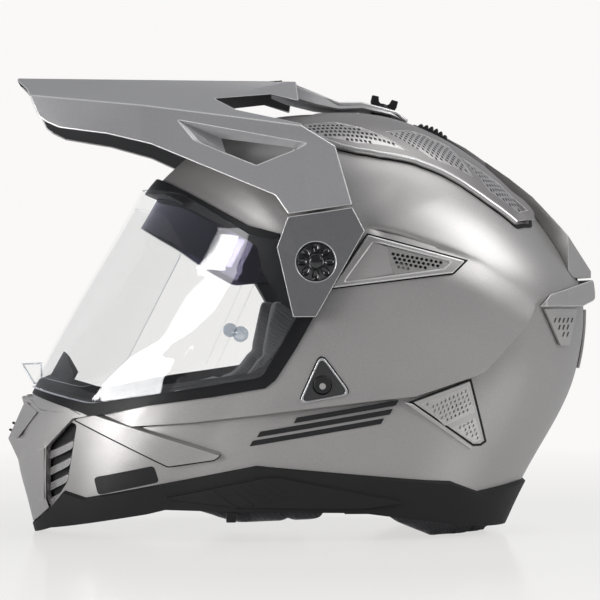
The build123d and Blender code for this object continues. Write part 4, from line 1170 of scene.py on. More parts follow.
@dataclass
class PaintedShell:
    """The painted shell, with its raised flank panel, its folds and its openings."""

    wall: float = 3.5
    flank_raise: float = 2.0
    lip_raise: float = 1.2
    lip_reach: float = 7.0
    hollow_depth: float = 2.0
    hollow_reach: float = 7.0
    step_width: float = 1.6
    fade: float = 22.0
    end_fade: float = 13.0
    front_fade: float = 26.0
    groove_depth: float = 2.1
    groove_reach: float = 8.0
    ridge_raise: float = 0.7
    ridge_reach: float = 7.0
    crease_width: float = 1.4
    ridge_width: float = 2.0
    guide_offsets: tuple[float, ...] = (-9.0, -5.5, -3.0, -1.4, 1.4, 3.0, 5.5, 9.0)
    port_radius: float = 5.0
    hub_hole: float = 9.3
    button_hole: float = 7.1
    line_step: float = 0.0075
    whole_chart: float = 1.03

    def relief(self, x: Array, z: Array) -> Array:
        """How far the paint stands off the body form.

        The flank panel stands proud: a steep step along its lower crease, a slow fade elsewhere. Under the
        upper crease a groove sinks in, and above it a low ridge rises. Below the lower crease lies a hollow.
        Each dies away with exp(-distance / reach).

        Args:
            x, z: side-view places.

        Returns:
            Millimetres.
        """
        outline = FORM.spots(LINES.flank)
        upper, lower, hidden = outline[:6], outline[5:14], np.concatenate([outline[-2:], outline[:1]])
        held = inside(np.stack([x, z], -1), outline)
        from_lower, from_upper = line_distance(x, z, lower), line_distance(x, z, upper)
        step = ease(from_lower / self.step_width)
        behind_blade = ease((x - lower[-1, 0]) / self.front_fade)
        slow = ease(line_distance(x, z, hidden) / self.end_fade) * ease(from_upper / self.fade) * behind_blade
        lip = self.lip_raise * np.exp(-from_lower / self.lip_reach)
        tail = ease((outline[4, 0] - x) / (outline[4, 0] - outline[0, 0])) * ease((x - outline[0, 0]) / self.end_fade)
        groove = self.groove_depth * np.exp(-from_upper / self.groove_reach)
        groove = groove * ease(from_upper / self.crease_width) * tail
        raised = (self.flank_raise + lip) * step * slow - groove
        ends = behind_blade * ease((lower[0, 0] - x) / self.fade)
        hollow = -self.hollow_depth * np.exp(-from_lower / self.hollow_reach) * ease(from_lower / self.crease_width)
        hollow = np.where(z < lower[0, 1], hollow * ends, 0.0)
        ridge = self.ridge_raise * np.exp(-from_upper / self.ridge_reach) * ease(from_upper / self.ridge_width) * tail
        return np.where(held, raised, np.where(from_lower < from_upper, hollow, ridge))

    def build(self) -> None:
        """Make the shell."""
        flank = FORM.spots(LINES.flank)
        folds = []
        for line in (flank[:6], flank[5:14]):
            run = np.gradient(line, axis=0)
            aside = np.stack([-run[:, 1], run[:, 0]], -1) / np.hypot(*run.T)[:, None]
            for offset in (0.0, *self.guide_offsets):
                folds.append(FORM.trace(line + aside * offset, 0.0, self.line_step, closed=False))
        openings = [FORM.spots(LINES.eye_port), FORM.spots(LINES.shell_rim), rounded(FORM.spots(LINES.louvre), 3.0),
                    ring(*FORM.pivot, self.hub_hole), ring(*FORM.spots(LINES.button), self.button_hole)]
        openings += [ring(*FORM.spots(table).mean(0), self.port_radius) for table in (LINES.side_mesh, LINES.rear_mesh)]
        cut = [FORM.trace(opening, 0.0, self.line_step) for opening in openings]
        patch = Patch([ring(0.0, 0.0, self.whole_chart, 1200)], cut, folds, 0.0155)
        Slab("painted_shell", patch, -self.wall, self.relief, Finish.SHELL, bevel=0.7).lay("outer_shell")


def grown(places: Array, distance: float) -> Array:
    """Move a closed outline outwards, with its corners kept sharp.

    Args:
        places: the outline's corners.
        distance: how far each side moves, and inwards below 0.

    Returns:
        The moved corners.
    """
    run = np.roll(places, -1, 0) - places
    x, z = places.T
    turn = np.sign((x * np.roll(z, -1) - np.roll(x, -1) * z).sum())
    out = np.stack([run[:, 1], -run[:, 0]], -1) * turn / np.hypot(*run.T)[:, None]
    both = out + np.roll(out, 1, 0)
    return places + both * (2 * distance / np.maximum((both * both).sum(1), 0.8))[:, None]


def tube(count: int, size: int) -> list[list[int]]:
    """The faces of a closed tube, with both ends shut.

    Args:
        count: the number of rings.
        size: the number of points on each.

    Returns:
        The faces, each a list of its points' numbers.
    """
    start = (np.arange(count - 1)[:, None] * size + np.arange(size)).ravel()
    after = (np.arange(count - 1)[:, None] * size + (np.arange(size) + 1) % size).ravel()
    faces = np.stack([start, after, after + size, start + size], -1).tolist()
    return faces + [list(range(size))[::-1], list(range((count - 1) * size, count * size))]


def carried(path: Array, out: Array, profile: Array) -> tuple[Array, list[list[int]]]:
    """A closed profile carried along an open path.

    At each path point the profile's first number runs outwards along `out` and its second one across it,
    square to the path.

    Args:
        path: the points in space.
        out: the outward direction at each.
        profile: the profile's corners.

    Returns:
        The points and the faces, with both ends shut.
    """
    along = np.gradient(path, axis=0)
    across = np.cross(along, out)
    across /= np.linalg.norm(across, axis=1)[:, None]
    out = np.cross(across, along)
    out /= np.linalg.norm(out, axis=1)[:, None]
    rings = path[:, None] + out[:, None] * profile[:, 0, None] + across[:, None] * profile[:, 1, None]
    return rings.reshape(-1, 3), tube(len(path), len(profile))


def prism(outline: Array, near: float, far: float) -> tuple[Array, list[list[int]]]:
    """The points and faces of a side-view outline drawn across the helmet between two places."""
    ends = [np.insert(outline, 1, y, 1) for y in (near, far)]
    return np.concatenate(ends), tube(2, len(outline))


def painted(piece: Object, finish: Finish, chosen: Callable[[Array, Array], Array]) -> None:
    """Give the faces that a test picks a second finish.

    Args:
        piece: the piece.
        finish: the second finish.
        chosen: a test of the faces' centres and normals.
    """
    mesh = piece.data
    picked = chosen(gather(mesh.polygons, "center") / MM, gather(mesh.polygons, "normal"))
    slots = np.empty(len(mesh.polygons), np.int32)
    mesh.polygons.foreach_get("material_index", slots)
    mesh.materials.append(finish.material())
    mesh.polygons.foreach_set("material_index", np.where(picked, len(mesh.materials) - 1, slots).astype(np.int32))


def carve(piece: Object, outline: Array, near: float, far: float, sharp: float = 24.0) -> None:
    """Cut a prism across the helmet out of a piece, between two distances from the middle plane.

    Args:
        piece: the piece, whose mesh is replaced.
        outline: the prism's side-view outline.
        near: the signed place across at which the prism starts.
        far: the place at which it ends.
        sharp: the turn in degrees past which an edge of the cut piece is sharp.
    """
    points, faces = prism(outline, near, far)
    mesh = bpy.data.meshes.new("cutter")
    mesh.from_pydata((points * MM).tolist(), [], faces)
    merged(mesh, DOUBLES, outwards=True)
    cutter = linked("cutter", mesh)
    live = list(piece.modifiers)
    for modifier in live:
        modifier.show_viewport = False
    cut = piece.modifiers.new("carve", "BOOLEAN")
    cut.operation, cut.solver, cut.object = "DIFFERENCE", "EXACT", cutter
    result = shown(piece)
    for modifier in live:
        modifier.show_viewport = True
    piece.modifiers.remove(cut)
    result.set_sharp_from_angle(angle=math.radians(sharp))
    piece.data = result
    bpy.data.objects.remove(cutter)


def gap_line(name: str, outline: Array, base: float, side: Side, margin: float = 0.8, plan: bool = False) -> None:
    """The dark joint that shows round a cover: a thin black ring that reaches past its outline."""
    outer, inner = (FORM.trace(grown(outline, reach), base, 0.02, plan) for reach in (margin, -1.5))
    Slab(name, Patch([outer], [inner], step=0.03), base - 0.2, base + 0.35, Finish.GASKET, side).lay()


@dataclass
class Screen:
    """A vent's insert: a plate with rows of small holes over a floor, part of which may be black."""

    name: str
    outline: Array
    low: float
    high: float
    node: str
    side: Side
    pitch: tuple[float, float] = (3.1, 2.5)
    half: tuple[float, float] = (1.3, 1.08)
    slant: float = 0.0
    turn: float = 0.0
    corners: int = 6
    plan: bool = False
    finish: Finish = Finish.MESH
    floor: Finish = Finish.PLASTIC
    dark: Array | None = None
    margin: float = 0.7

    def holes(self) -> list[Array]:
        """The holes' outlines: staggered rows, turned and slanted, kept where they fit.

        Returns:
            Each hole's corners.
        """
        middle = self.outline.mean(0)
        span = np.hypot(*(self.outline - middle).T).max()
        rows = int(span / self.pitch[1]) + 1
        count = int(span / self.pitch[0]) + 1
        i, j = np.meshgrid(np.arange(-count, count + 1), np.arange(-rows, rows + 1))
        spots = np.stack([(i + 0.5 * (j % 2)) * self.pitch[0] + j * self.pitch[1] * self.slant, j * self.pitch[1]], -1)
        angles = full_turn(self.corners) + math.pi / self.corners
        shape = np.stack([np.cos(angles), np.sin(angles)], -1) * self.half
        shape[:, 0] += shape[:, 1] * self.slant
        turning = np.array([[math.cos(self.turn), math.sin(self.turn)], [-math.sin(self.turn), math.cos(self.turn)]])
        every = (spots.reshape(-1, 1, 2) + shape) @ turning + middle
        fits = inside(every.reshape(-1, 2), grown(self.outline, -self.margin)).reshape(len(every), -1).all(1)
        return list(every[fits])

    def build(self) -> None:
        """Make the plate and its floor."""
        to_chart = FORM.chart_of_plan if self.plan else FORM.chart
        cut = [to_chart(hole[:, 0], hole[:, 1], self.high) for hole in self.holes()]
        border = FORM.trace(self.outline, self.high, 0.02, self.plan)
        Slab(self.name, Patch([border], cut, step=0.03), self.low, self.high, self.finish, self.side).lay(self.node)
        floor = Patch([border], step=0.03)
        Slab(self.name + "_floor", floor, self.low - 0.5, self.low - 0.1, self.floor, self.side).lay()
        if self.dark is not None:
            spot = FORM.trace(self.dark, self.high, 0.02, self.plan)
            Slab(self.name + "_dark", Patch([spot], step=0.03), self.low - 0.05, self.low + 0.1, Finish.GLOSS,
                 self.side).lay()


@dataclass
class SideVent:
    """The wedge-shaped vent behind the pod: a bevelled frame, a sloping facet and a screen."""

    side: Side
    base: float = 2.0
    raise_by: float = 2.4
    facet_fall: float = 0.052
    screen_height: float = 1.0

    outer: Shares = ((0.089, 0.648), (0.250, 0.594), (0.229, 0.568), (0.031, 0.536))
    recess: Shares = ((0.0985, 0.633), (0.226, 0.592), (0.213, 0.578), (0.052, 0.550))
    screen: Shares = ((0.120, 0.6225), (0.224, 0.5915), (0.211, 0.5795), (0.133, 0.5665))

    def build(self) -> None:
        """Make the frame, the facet and the screen."""
        tail = self.side.value
        outer, recess, screen = (FORM.spots(table) for table in (self.outer, self.recess, self.screen))
        top = self.base + self.raise_by
        gap_line("side_vent_joint_" + tail, outer, self.base + 0.1, self.side)
        frame_patch = Patch([FORM.trace(outer, top)], [FORM.trace(recess, top)])
        Slab("side_vent_frame_" + tail, frame_patch, self.base + 0.3, top, Finish.COVER, self.side, bevel=1.1,
             edge=Finish.PAINTED_HIGHLIGHT).lay("side_vent_" + tail)
        facet = np.array([recess[0], screen[0], screen[3], recess[3]])
        edge = np.array([recess[0], recess[3]])
        depth = lambda x, z: top - 0.9 - self.facet_fall * line_distance(x, z, edge)
        facet_patch = Patch([FORM.trace(grown(facet, 0.2), top)])
        Slab("side_vent_facet_" + tail, facet_patch, self.base - 1.6, depth, Finish.COVER, self.side).lay()
        Screen("side_vent_screen_" + tail, grown(screen, 0.5), self.base - 0.1, self.base + self.screen_height,
               "side_mesh_" + tail, self.side, turn=-0.17).build()


@dataclass
class RearVent:
    """The vent low on the flank's rear: a thin frame, two fields of slits and a black middle."""

    side: Side
    top: float = 1.5

    outer: Shares = ((0.166, 0.295), (0.259, 0.338), (0.287, 0.211), (0.280, 0.205), (0.268, 0.205))
    upper_field: Shares = ((0.180, 0.292), (0.256, 0.327), (0.268, 0.272), (0.218, 0.246))
    lower_field: Shares = ((0.232, 0.240), (0.270, 0.260), (0.281, 0.214), (0.269, 0.210))
    black: Shares = ((0.226, 0.289), (0.250, 0.291), (0.249, 0.266), (0.230, 0.262))
    strip: Shares = ((0.148, 0.297), (0.164, 0.292), (0.268, 0.199), (0.263, 0.193))

    def build(self) -> None:
        """Make the frame, the slit fields and the light strip below."""
        tail = self.side.value
        outer = FORM.spots(self.outer)
        gap_line("rear_vent_joint_" + tail, outer, 0.15, self.side, 1.5)
        fields = [FORM.spots(self.upper_field), FORM.spots(self.lower_field)]
        patch = Patch([FORM.trace(outer, self.top)], [FORM.trace(places, self.top) for places in fields])
        Slab("rear_vent_frame_" + tail, patch, 0.3, self.top, Finish.COVER, self.side, bevel=0.6,
             edge=Finish.PAINTED_HIGHLIGHT).lay("rear_vent_" + tail)
        for number, places in enumerate(fields):
            Screen(f"rear_vent_screen_{number + 1}_{tail}", grown(places, 0.25), 0.75, self.top - 0.15,
                   "rear_mesh_" + tail, self.side, (2.9, 2.9), (0.75, 1.15), 0.55, 0.42, 4, floor=Finish.COVER,
                   dark=FORM.spots(self.black) if number == 0 else None, margin=0.5).build()
        strip = Patch([FORM.trace(FORM.spots(self.strip), 1.0)])
        Slab("rear_vent_strip_" + tail, strip, 0.05, 1.3, Finish.COVER, self.side, bevel=0.5).lay()


@dataclass
class CrownVent:
    """The long cover beside the crown's middle: a plate, a rolled rail along its lower edge and screens."""

    side: Side
    base: float = 0.3
    top: float = 2.6
    heel: float = 2.4
    heel_start: float = 0.338
    heel_run: float = 9.0
    rail_radius: float = 2.0
    rail_points: int = 14

    first: Shares = ((-0.019, 0.560), (0.045, 0.530), (0.105, 0.610), (0.163, 0.686), (0.079, 0.728), (0.029, 0.690))
    second: Shares = ((0.128, 0.585), (0.180, 0.440), (0.240, 0.410), (0.272, 0.600), (0.200, 0.655))
    third: Shares = ((0.258, 0.470), (0.325, 0.440), (0.363, 0.492), (0.350, 0.565), (0.300, 0.610))
    dark: Shares = ((0.082, 0.590), (0.103, 0.612), (0.098, 0.680), (0.070, 0.660))
    slits: tuple[tuple[Any, ...], ...] = (
        ((2.9, 4.2), (1.25, 1.75), 0.15, Finish.CROWN), ((2.9, 3.3), (1.15, 1.2), 0.5, Finish.PLASTIC),
        ((2.9, 3.3), (1.15, 1.2), 0.5, Finish.PLASTIC),
    )

    def height(self, x: Array, z: Array) -> Array:
        """The plate's height, which rises to a block at the rear end."""
        return self.top + self.heel * ease((x - self.heel_start * FORM.length) / self.heel_run)

    def build(self) -> None:
        """Make the plate, the rail and the screens."""
        tail = self.side.value
        outline = FORM.plan_spots(LINES.crown_vent)
        fields = [FORM.plan_spots(table) for table in (self.first, self.second, self.third)]
        gap_line("crown_vent_joint_" + tail, rounded(outline, 2.5), 0.1, self.side, 0.2, plan=True)
        cut = [FORM.trace(places, self.top, plan=True) for places in fields]
        patch = Patch([FORM.trace(rounded(outline, 2.5), self.top, plan=True)], cut)
        Slab("crown_vent_plate_" + tail, patch, self.base, self.height, Finish.CROWN, self.side, bevel=0.6,
             rim_finish=Finish.RAIL, edge=Finish.PAINTED_HIGHLIGHT).lay("crown_vent_" + tail)
        self.lay_rail(tail)
        for number, places in enumerate(fields):
            pitch, half, slant, floor = self.slits[number]
            Screen(f"crown_screen_{number + 1}_{tail}", grown(places, 0.25), self.top - 1.1, self.top - 0.4,
                   "crown_mesh_" + tail, self.side, pitch, half, slant, 0.35 * number, 4, True, Finish.SLATS, floor,
                   FORM.plan_spots(self.dark) if number == 0 else None, 0.4).build()

    def lay_rail(self, tail: str) -> None:
        """Carry a round profile along the plate's lower edge.

        Args:
            tail: the side's word.
        """
        edge = FORM.plan_spots(LINES.crown_vent[1:12])
        chart = FORM.trace(edge, self.top, 0.012, plan=True, closed=False)
        x, z = FORM.side(*FORM.polar(chart), 0.0)
        height = self.height(x, z)
        path = FORM.points(chart, height - 1.0)
        out = FORM.points(chart, height + 1.0) - path
        turn = full_turn(self.rail_points)
        profile = self.rail_radius * np.stack([np.cos(turn), 1.15 * np.sin(turn)], -1)
        points, faces = carried(path, out, profile)
        if self.side is Side.RIGHT:
            points = points * (1, -1, 1)
        place(closed_piece("crown_vent_rail_" + tail, points, faces, Finish.RAIL, 60.0), "root")


@dataclass
class EyePort:
    """The rubber round the eye port, the clear visor and the dark inner visor."""

    gasket_low: float = -4.8
    gasket_high: float = 3.6
    visor_low: float = 4.6
    visor_high: float = 6.4
    sun_low: float = -7.5
    sun_high: float = -5.6
    insert_gap: float = 0.4
    insert_thick: float = 0.6
    tab_half: float = 7.0

    insert: Shares = (
        (-0.55, 0.720), (-0.290, 0.715), (-0.235, 0.695), (-0.205, 0.619), (-0.305, 0.363), (-0.345, 0.335),
        (-0.370, 0.325), (-0.455, 0.345), (-0.55, 0.380),
    )
    bead: Shares = ((-0.0600, 0.639), (-0.1580, 0.358), (-0.1598, 0.358), (-0.0618, 0.639))
    tab: Shares = ((-0.479, 0.370), (-0.444, 0.372), (-0.444, 0.325), (-0.458, 0.325))

    def build(self) -> None:
        """Make the rubber, the visor with its insert and tab, and the inner visor."""
        step = 0.0085
        port = FORM.trace(grown(FORM.spots(LINES.eye_port), -0.35), 0.0, step)
        light = FORM.trace(FORM.spots(LINES.port_light), 0.0, step)
        Slab("port_gasket", Patch([port], [light], step=0.015), self.gasket_low, self.gasket_high, Finish.GASKET,
             bevel=1.1).lay("eyeport_gasket")
        outline = FORM.trace(rounded(FORM.spots(LINES.visor), 2.5), self.visor_high, step)
        Slab("clear_visor", Patch([outline], step=0.014), self.visor_low, self.visor_high, Finish.CLEAR,
             rim_finish=Finish.EDGE).lay("visor_shield", body="visor")
        for name, places, corner, high in (("visor_insert", self.insert, 4.0, self.visor_low - self.insert_gap),
                                           ("visor_bead", self.bead, 0.0, self.visor_high + self.insert_thick / 2)):
            places = FORM.spots(places)
            trace = FORM.trace(rounded(places, corner) if corner else places, high, step)
            Slab(name, Patch([trace]), high - self.insert_thick, high, Finish.INSERT,
                 rim_finish=Finish.EDGE).lay(body="visor")
        tab = closed_piece("visor_tab", *prism(FORM.spots(self.tab), -self.tab_half, self.tab_half), Finish.CLEAR)
        place(bevelled(tab, 0.8, edge=Finish.EDGE), "visor")
        shade = FORM.trace(rounded(FORM.spots(LINES.sun_visor), 4.0), self.sun_low, step)
        Slab("inner_visor", Patch([shade], step=0.016), self.sun_low, self.sun_high, Finish.TINT,
             rim_finish=Finish.EDGE).lay("sun_visor", body="sun_visor")


@dataclass
class Dial:
    """The pivot's cover screw: a black rosette of hollows in a thin silver ring."""

    side: Side
    radius: float = 12.4
    petals: int = 8
    petal_ring: float = 8.2
    petal_depth: float = 2.0
    petal_reach: float = 3.4
    petal_width: float = 2.25
    crown: float = 1.5
    groove_ring: float = 4.1
    groove_width: float = 0.35
    groove_depth: float = 0.5
    middle: float = 0.3
    thick: float = 3.6
    around: int = 192
    across: int = 46
    ring_around: int = 128
    ring_section: int = 10

    def build(self) -> None:
        """Make the rosette and its ring.

        The height falls with the radius's fourth power as a shallow dome. Each petal is a drop-shaped hollow,
        and a narrow groove rounds the flat middle.
        """
        tail = self.side.value
        low, high = (np.array(corner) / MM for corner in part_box("dial_" + tail))
        sign = self.side.sign
        face = high[1] if sign > 0 else low[1]
        r = np.linspace(self.middle, 1.0, self.across)[:, None] * self.radius
        turn = full_turn(self.around)[None, :]
        height = self.crown * (1 - (r / self.radius) ** 4) - self.crown + 0 * turn
        swing = np.mod(turn * self.petals / (2 * math.pi) + 0.5, 1.0) - 0.5
        reach = (r - self.petal_ring) / self.petal_reach
        half = self.petal_width * (1 + 0.35 * reach)
        hollow = np.clip(1 - (swing * 2 * math.pi / self.petals * r / half) ** 2 - reach ** 2, 0, 1)
        height = height - self.petal_depth * np.sqrt(hollow)
        height = height - self.groove_depth * np.exp(-((r - self.groove_ring) / self.groove_width) ** 2)
        x, z = FORM.pivot[0] + r * np.cos(turn), FORM.pivot[1] + r * np.sin(turn)
        top = np.stack([x, face + sign * (height + 0.1), z], -1).reshape(-1, 3)
        rim = np.stack([x[-1], np.full(self.around, face - sign * self.thick), z[-1]], -1)
        rosette = closed_piece("dial_rosette_" + tail, np.concatenate([top, rim]), tube(self.across + 1, self.around),
                               Finish.GLOSS, 50.0)
        place(rosette, "dial_" + tail, "dial_" + tail)
        self.ring(tail, sign, face)

    def ring(self, tail: str, sign: int, face: float) -> None:
        """Make the silver ring that the rosette turns in, a round section on a circle.

        Args:
            tail: the side's word.
            sign: 1 on the wearer's left, -1 on the right.
            face: the dial's outer face, in Y.
        """
        around, size = self.ring_around, self.ring_section
        turn = full_turn(around)[:, None]
        small = full_turn(size)[None, :]
        r = self.radius + 0.35 + 0.45 * np.cos(small)
        points = np.stack([FORM.pivot[0] + r * np.cos(turn), face + sign * (0.45 * np.sin(small) - 0.9) + 0 * turn,
                           FORM.pivot[1] + r * np.sin(turn)], -1).reshape(-1, 3)
        i, j = np.meshgrid(np.arange(around), np.arange(size), indexing="ij")
        after, along = (i + 1) % around * size, (j + 1) % size
        faces = np.stack([i * size + j, i * size + along, after + along, after + j], -1).reshape(-1, 4).tolist()
        place(closed_piece("dial_ring_" + tail, points, faces, Finish.STEEL), "dial_" + tail)


@dataclass
class SideButton:
    """The three-cornered glossy bezel with its silver rim, and the round button in it."""

    side: Side
    base: float = 2.0
    rim_width: float = 1.1
    rim_height: float = 1.7
    face_height: float = 1.1
    corner: float = 5.0
    hole: float = 6.0
    button_height: float = 3.2
    dot: float = 2.0

    def build(self) -> None:
        """Make the rim, the glossy face and the button's ring and dot."""
        tail = self.side.value
        outline = FORM.spots(LINES.bezel)
        outer = rounded(grown(outline, 0.6), self.corner + 1.0, 9)
        inner = rounded(grown(outline, 0.6 - self.rim_width), self.corner, 9)
        axis = FORM.spots(LINES.button)
        bore = FORM.trace(ring(*axis, self.hole, 48), self.base, 0.01)
        gap_line("bezel_joint_" + tail, outer, self.base + 0.05, self.side, 0.7)
        step = 0.01
        rim = Patch([FORM.trace(outer, self.base, step)], [FORM.trace(inner, self.base, step)])
        Slab("bezel_rim_" + tail, rim, self.base + 0.3, self.base + self.rim_height, Finish.STEEL, self.side,
             bevel=0.4).lay()
        face = Patch([FORM.trace(grown(inner, 0.1), self.base, step)], [bore])
        Slab("bezel_face_" + tail, face, self.base + 0.3, self.base + self.face_height, Finish.GLOSS, self.side,
             bevel=0.3).lay("button_bezel_" + tail)
        dress("side_button_" + tail, Finish.PLASTIC, 0.6, 30.0, "push_button_" + tail)
        top = self.base + self.button_height
        dot = Patch([FORM.trace(ring(*axis, self.dot), self.base, step)])
        Slab("button_dot_" + tail, dot, top - 0.2, top + 0.18, Finish.MESH, self.side,
             bevel=0.1).lay(body="side_button_" + tail)


@dataclass
class Trim:
    """The rubber skirt round the lower rim, with a raised relief and gills on each side."""

    low: float = -6.0
    high: float = 3.0
    relief_height: float = 4.9
    gill_height: float = 5.5
    gill_width: float = 2.4

    outline: Shares = (
        (-0.485, 0.005), (-0.462, 0.015), (-0.426, 0.059), (-0.400, 0.102), (-0.365, 0.089), (-0.089, 0.163),
        (0.192, 0.129), (0.229, 0.126), (0.278, 0.101), (0.357, 0.116), (0.40, 0.118), (0.40, 0.022),
        (0.281, 0.030), (0.146, 0.055), (0.080, 0.067), (-0.115, 0.070), (-0.233, 0.072), (-0.262, 0.062),
        (-0.420, 0.024), (-0.455, 0.005),
    )
    gills: Shares = ((-0.163, 0.111), (-0.137, 0.117), (-0.108, 0.124), (-0.080, 0.130))
    gill_run: tuple[float, float] = (0.040, -0.036)

    def build(self) -> None:
        """Lay the relief and the gills over the moulded skirt."""
        outline = FORM.trace(FORM.spots(self.outline), 0.0, 0.012)
        Slab("rim_skirt", Patch([outline], step=0.018), self.low, self.high, Finish.TRIM, bevel=1.2).lay("lower_trim")
        relief = FORM.trace(rounded(FORM.spots(LINES.relief), 2.0), self.high)
        for side in BOTH_SIDES:
            Slab("trim_relief_" + side.value, Patch([relief]), self.high - 0.4, self.relief_height,
                 Finish.TRIM, side, bevel=0.9).lay()
            for number, share in enumerate(self.gills):
                self.gill(number, FORM.spots(share), side)

    def gill(self, number: int, start: Array, side: Side) -> None:
        """Add one slanted gill that starts at a place.

        Args:
            number: its number from the front.
            start: its lower front corner.
            side: the side.
        """
        run = FORM.spots(self.gill_run)
        width = np.array([self.gill_width, self.gill_width * 0.35])
        bar = np.array([start, start + width, start + run + width, start + run])
        name = f"trim_gill_{number + 1}_{side.value}"
        Slab(name, Patch([FORM.trace(bar, self.high)]), self.high, self.gill_height, Finish.TRIM,
             side, bevel=0.6).lay()


@dataclass
class Marks:
    """Generic dark bars on the flank and a plain dark patch on the chin."""

    height: float = 0.14
    origin: tuple[float, float] = (-0.100, 0.204)
    run: tuple[float, float] = (0.236, 0.052)
    bar: float = 3.5
    pitch: float = 5.0
    slant: float = 0.55

    rows: Shares = ((0.0, 0.90), (0.05, 0.96), (0.30, 1.0))
    label: Shares = ((-0.352, 0.133), (-0.254, 0.161), (-0.245, 0.126), (-0.345, 0.095))

    def build(self) -> None:
        """Lay the bars and the patch on the shell."""
        start = FORM.spots(self.origin)
        run = FORM.spots(self.run)
        for row, shares in enumerate(self.rows):
            low, high = (start + run * share + (0, row * self.pitch) for share in shares)
            lean = np.array([self.bar * self.slant, self.bar])
            self.lay(f"flank_bar_{row + 1}", np.array([low, high, high + lean, low + lean]), 0.5)
        self.lay("chin_patch", FORM.spots(self.label), 2.5)

    def lay(self, name: str, outline: Array, corner: float) -> None:
        """Lay one thin dark piece on each side.

        Args:
            name: the piece's name.
            outline: its corners.
            corner: their rounding.
        """
        trace = FORM.trace(rounded(outline, corner), 0.0, 0.01)
        for side in BOTH_SIDES:
            Slab(f"{name}_{side.value}", Patch([trace], step=0.014), -0.05, self.height, Finish.MARK, side).lay()


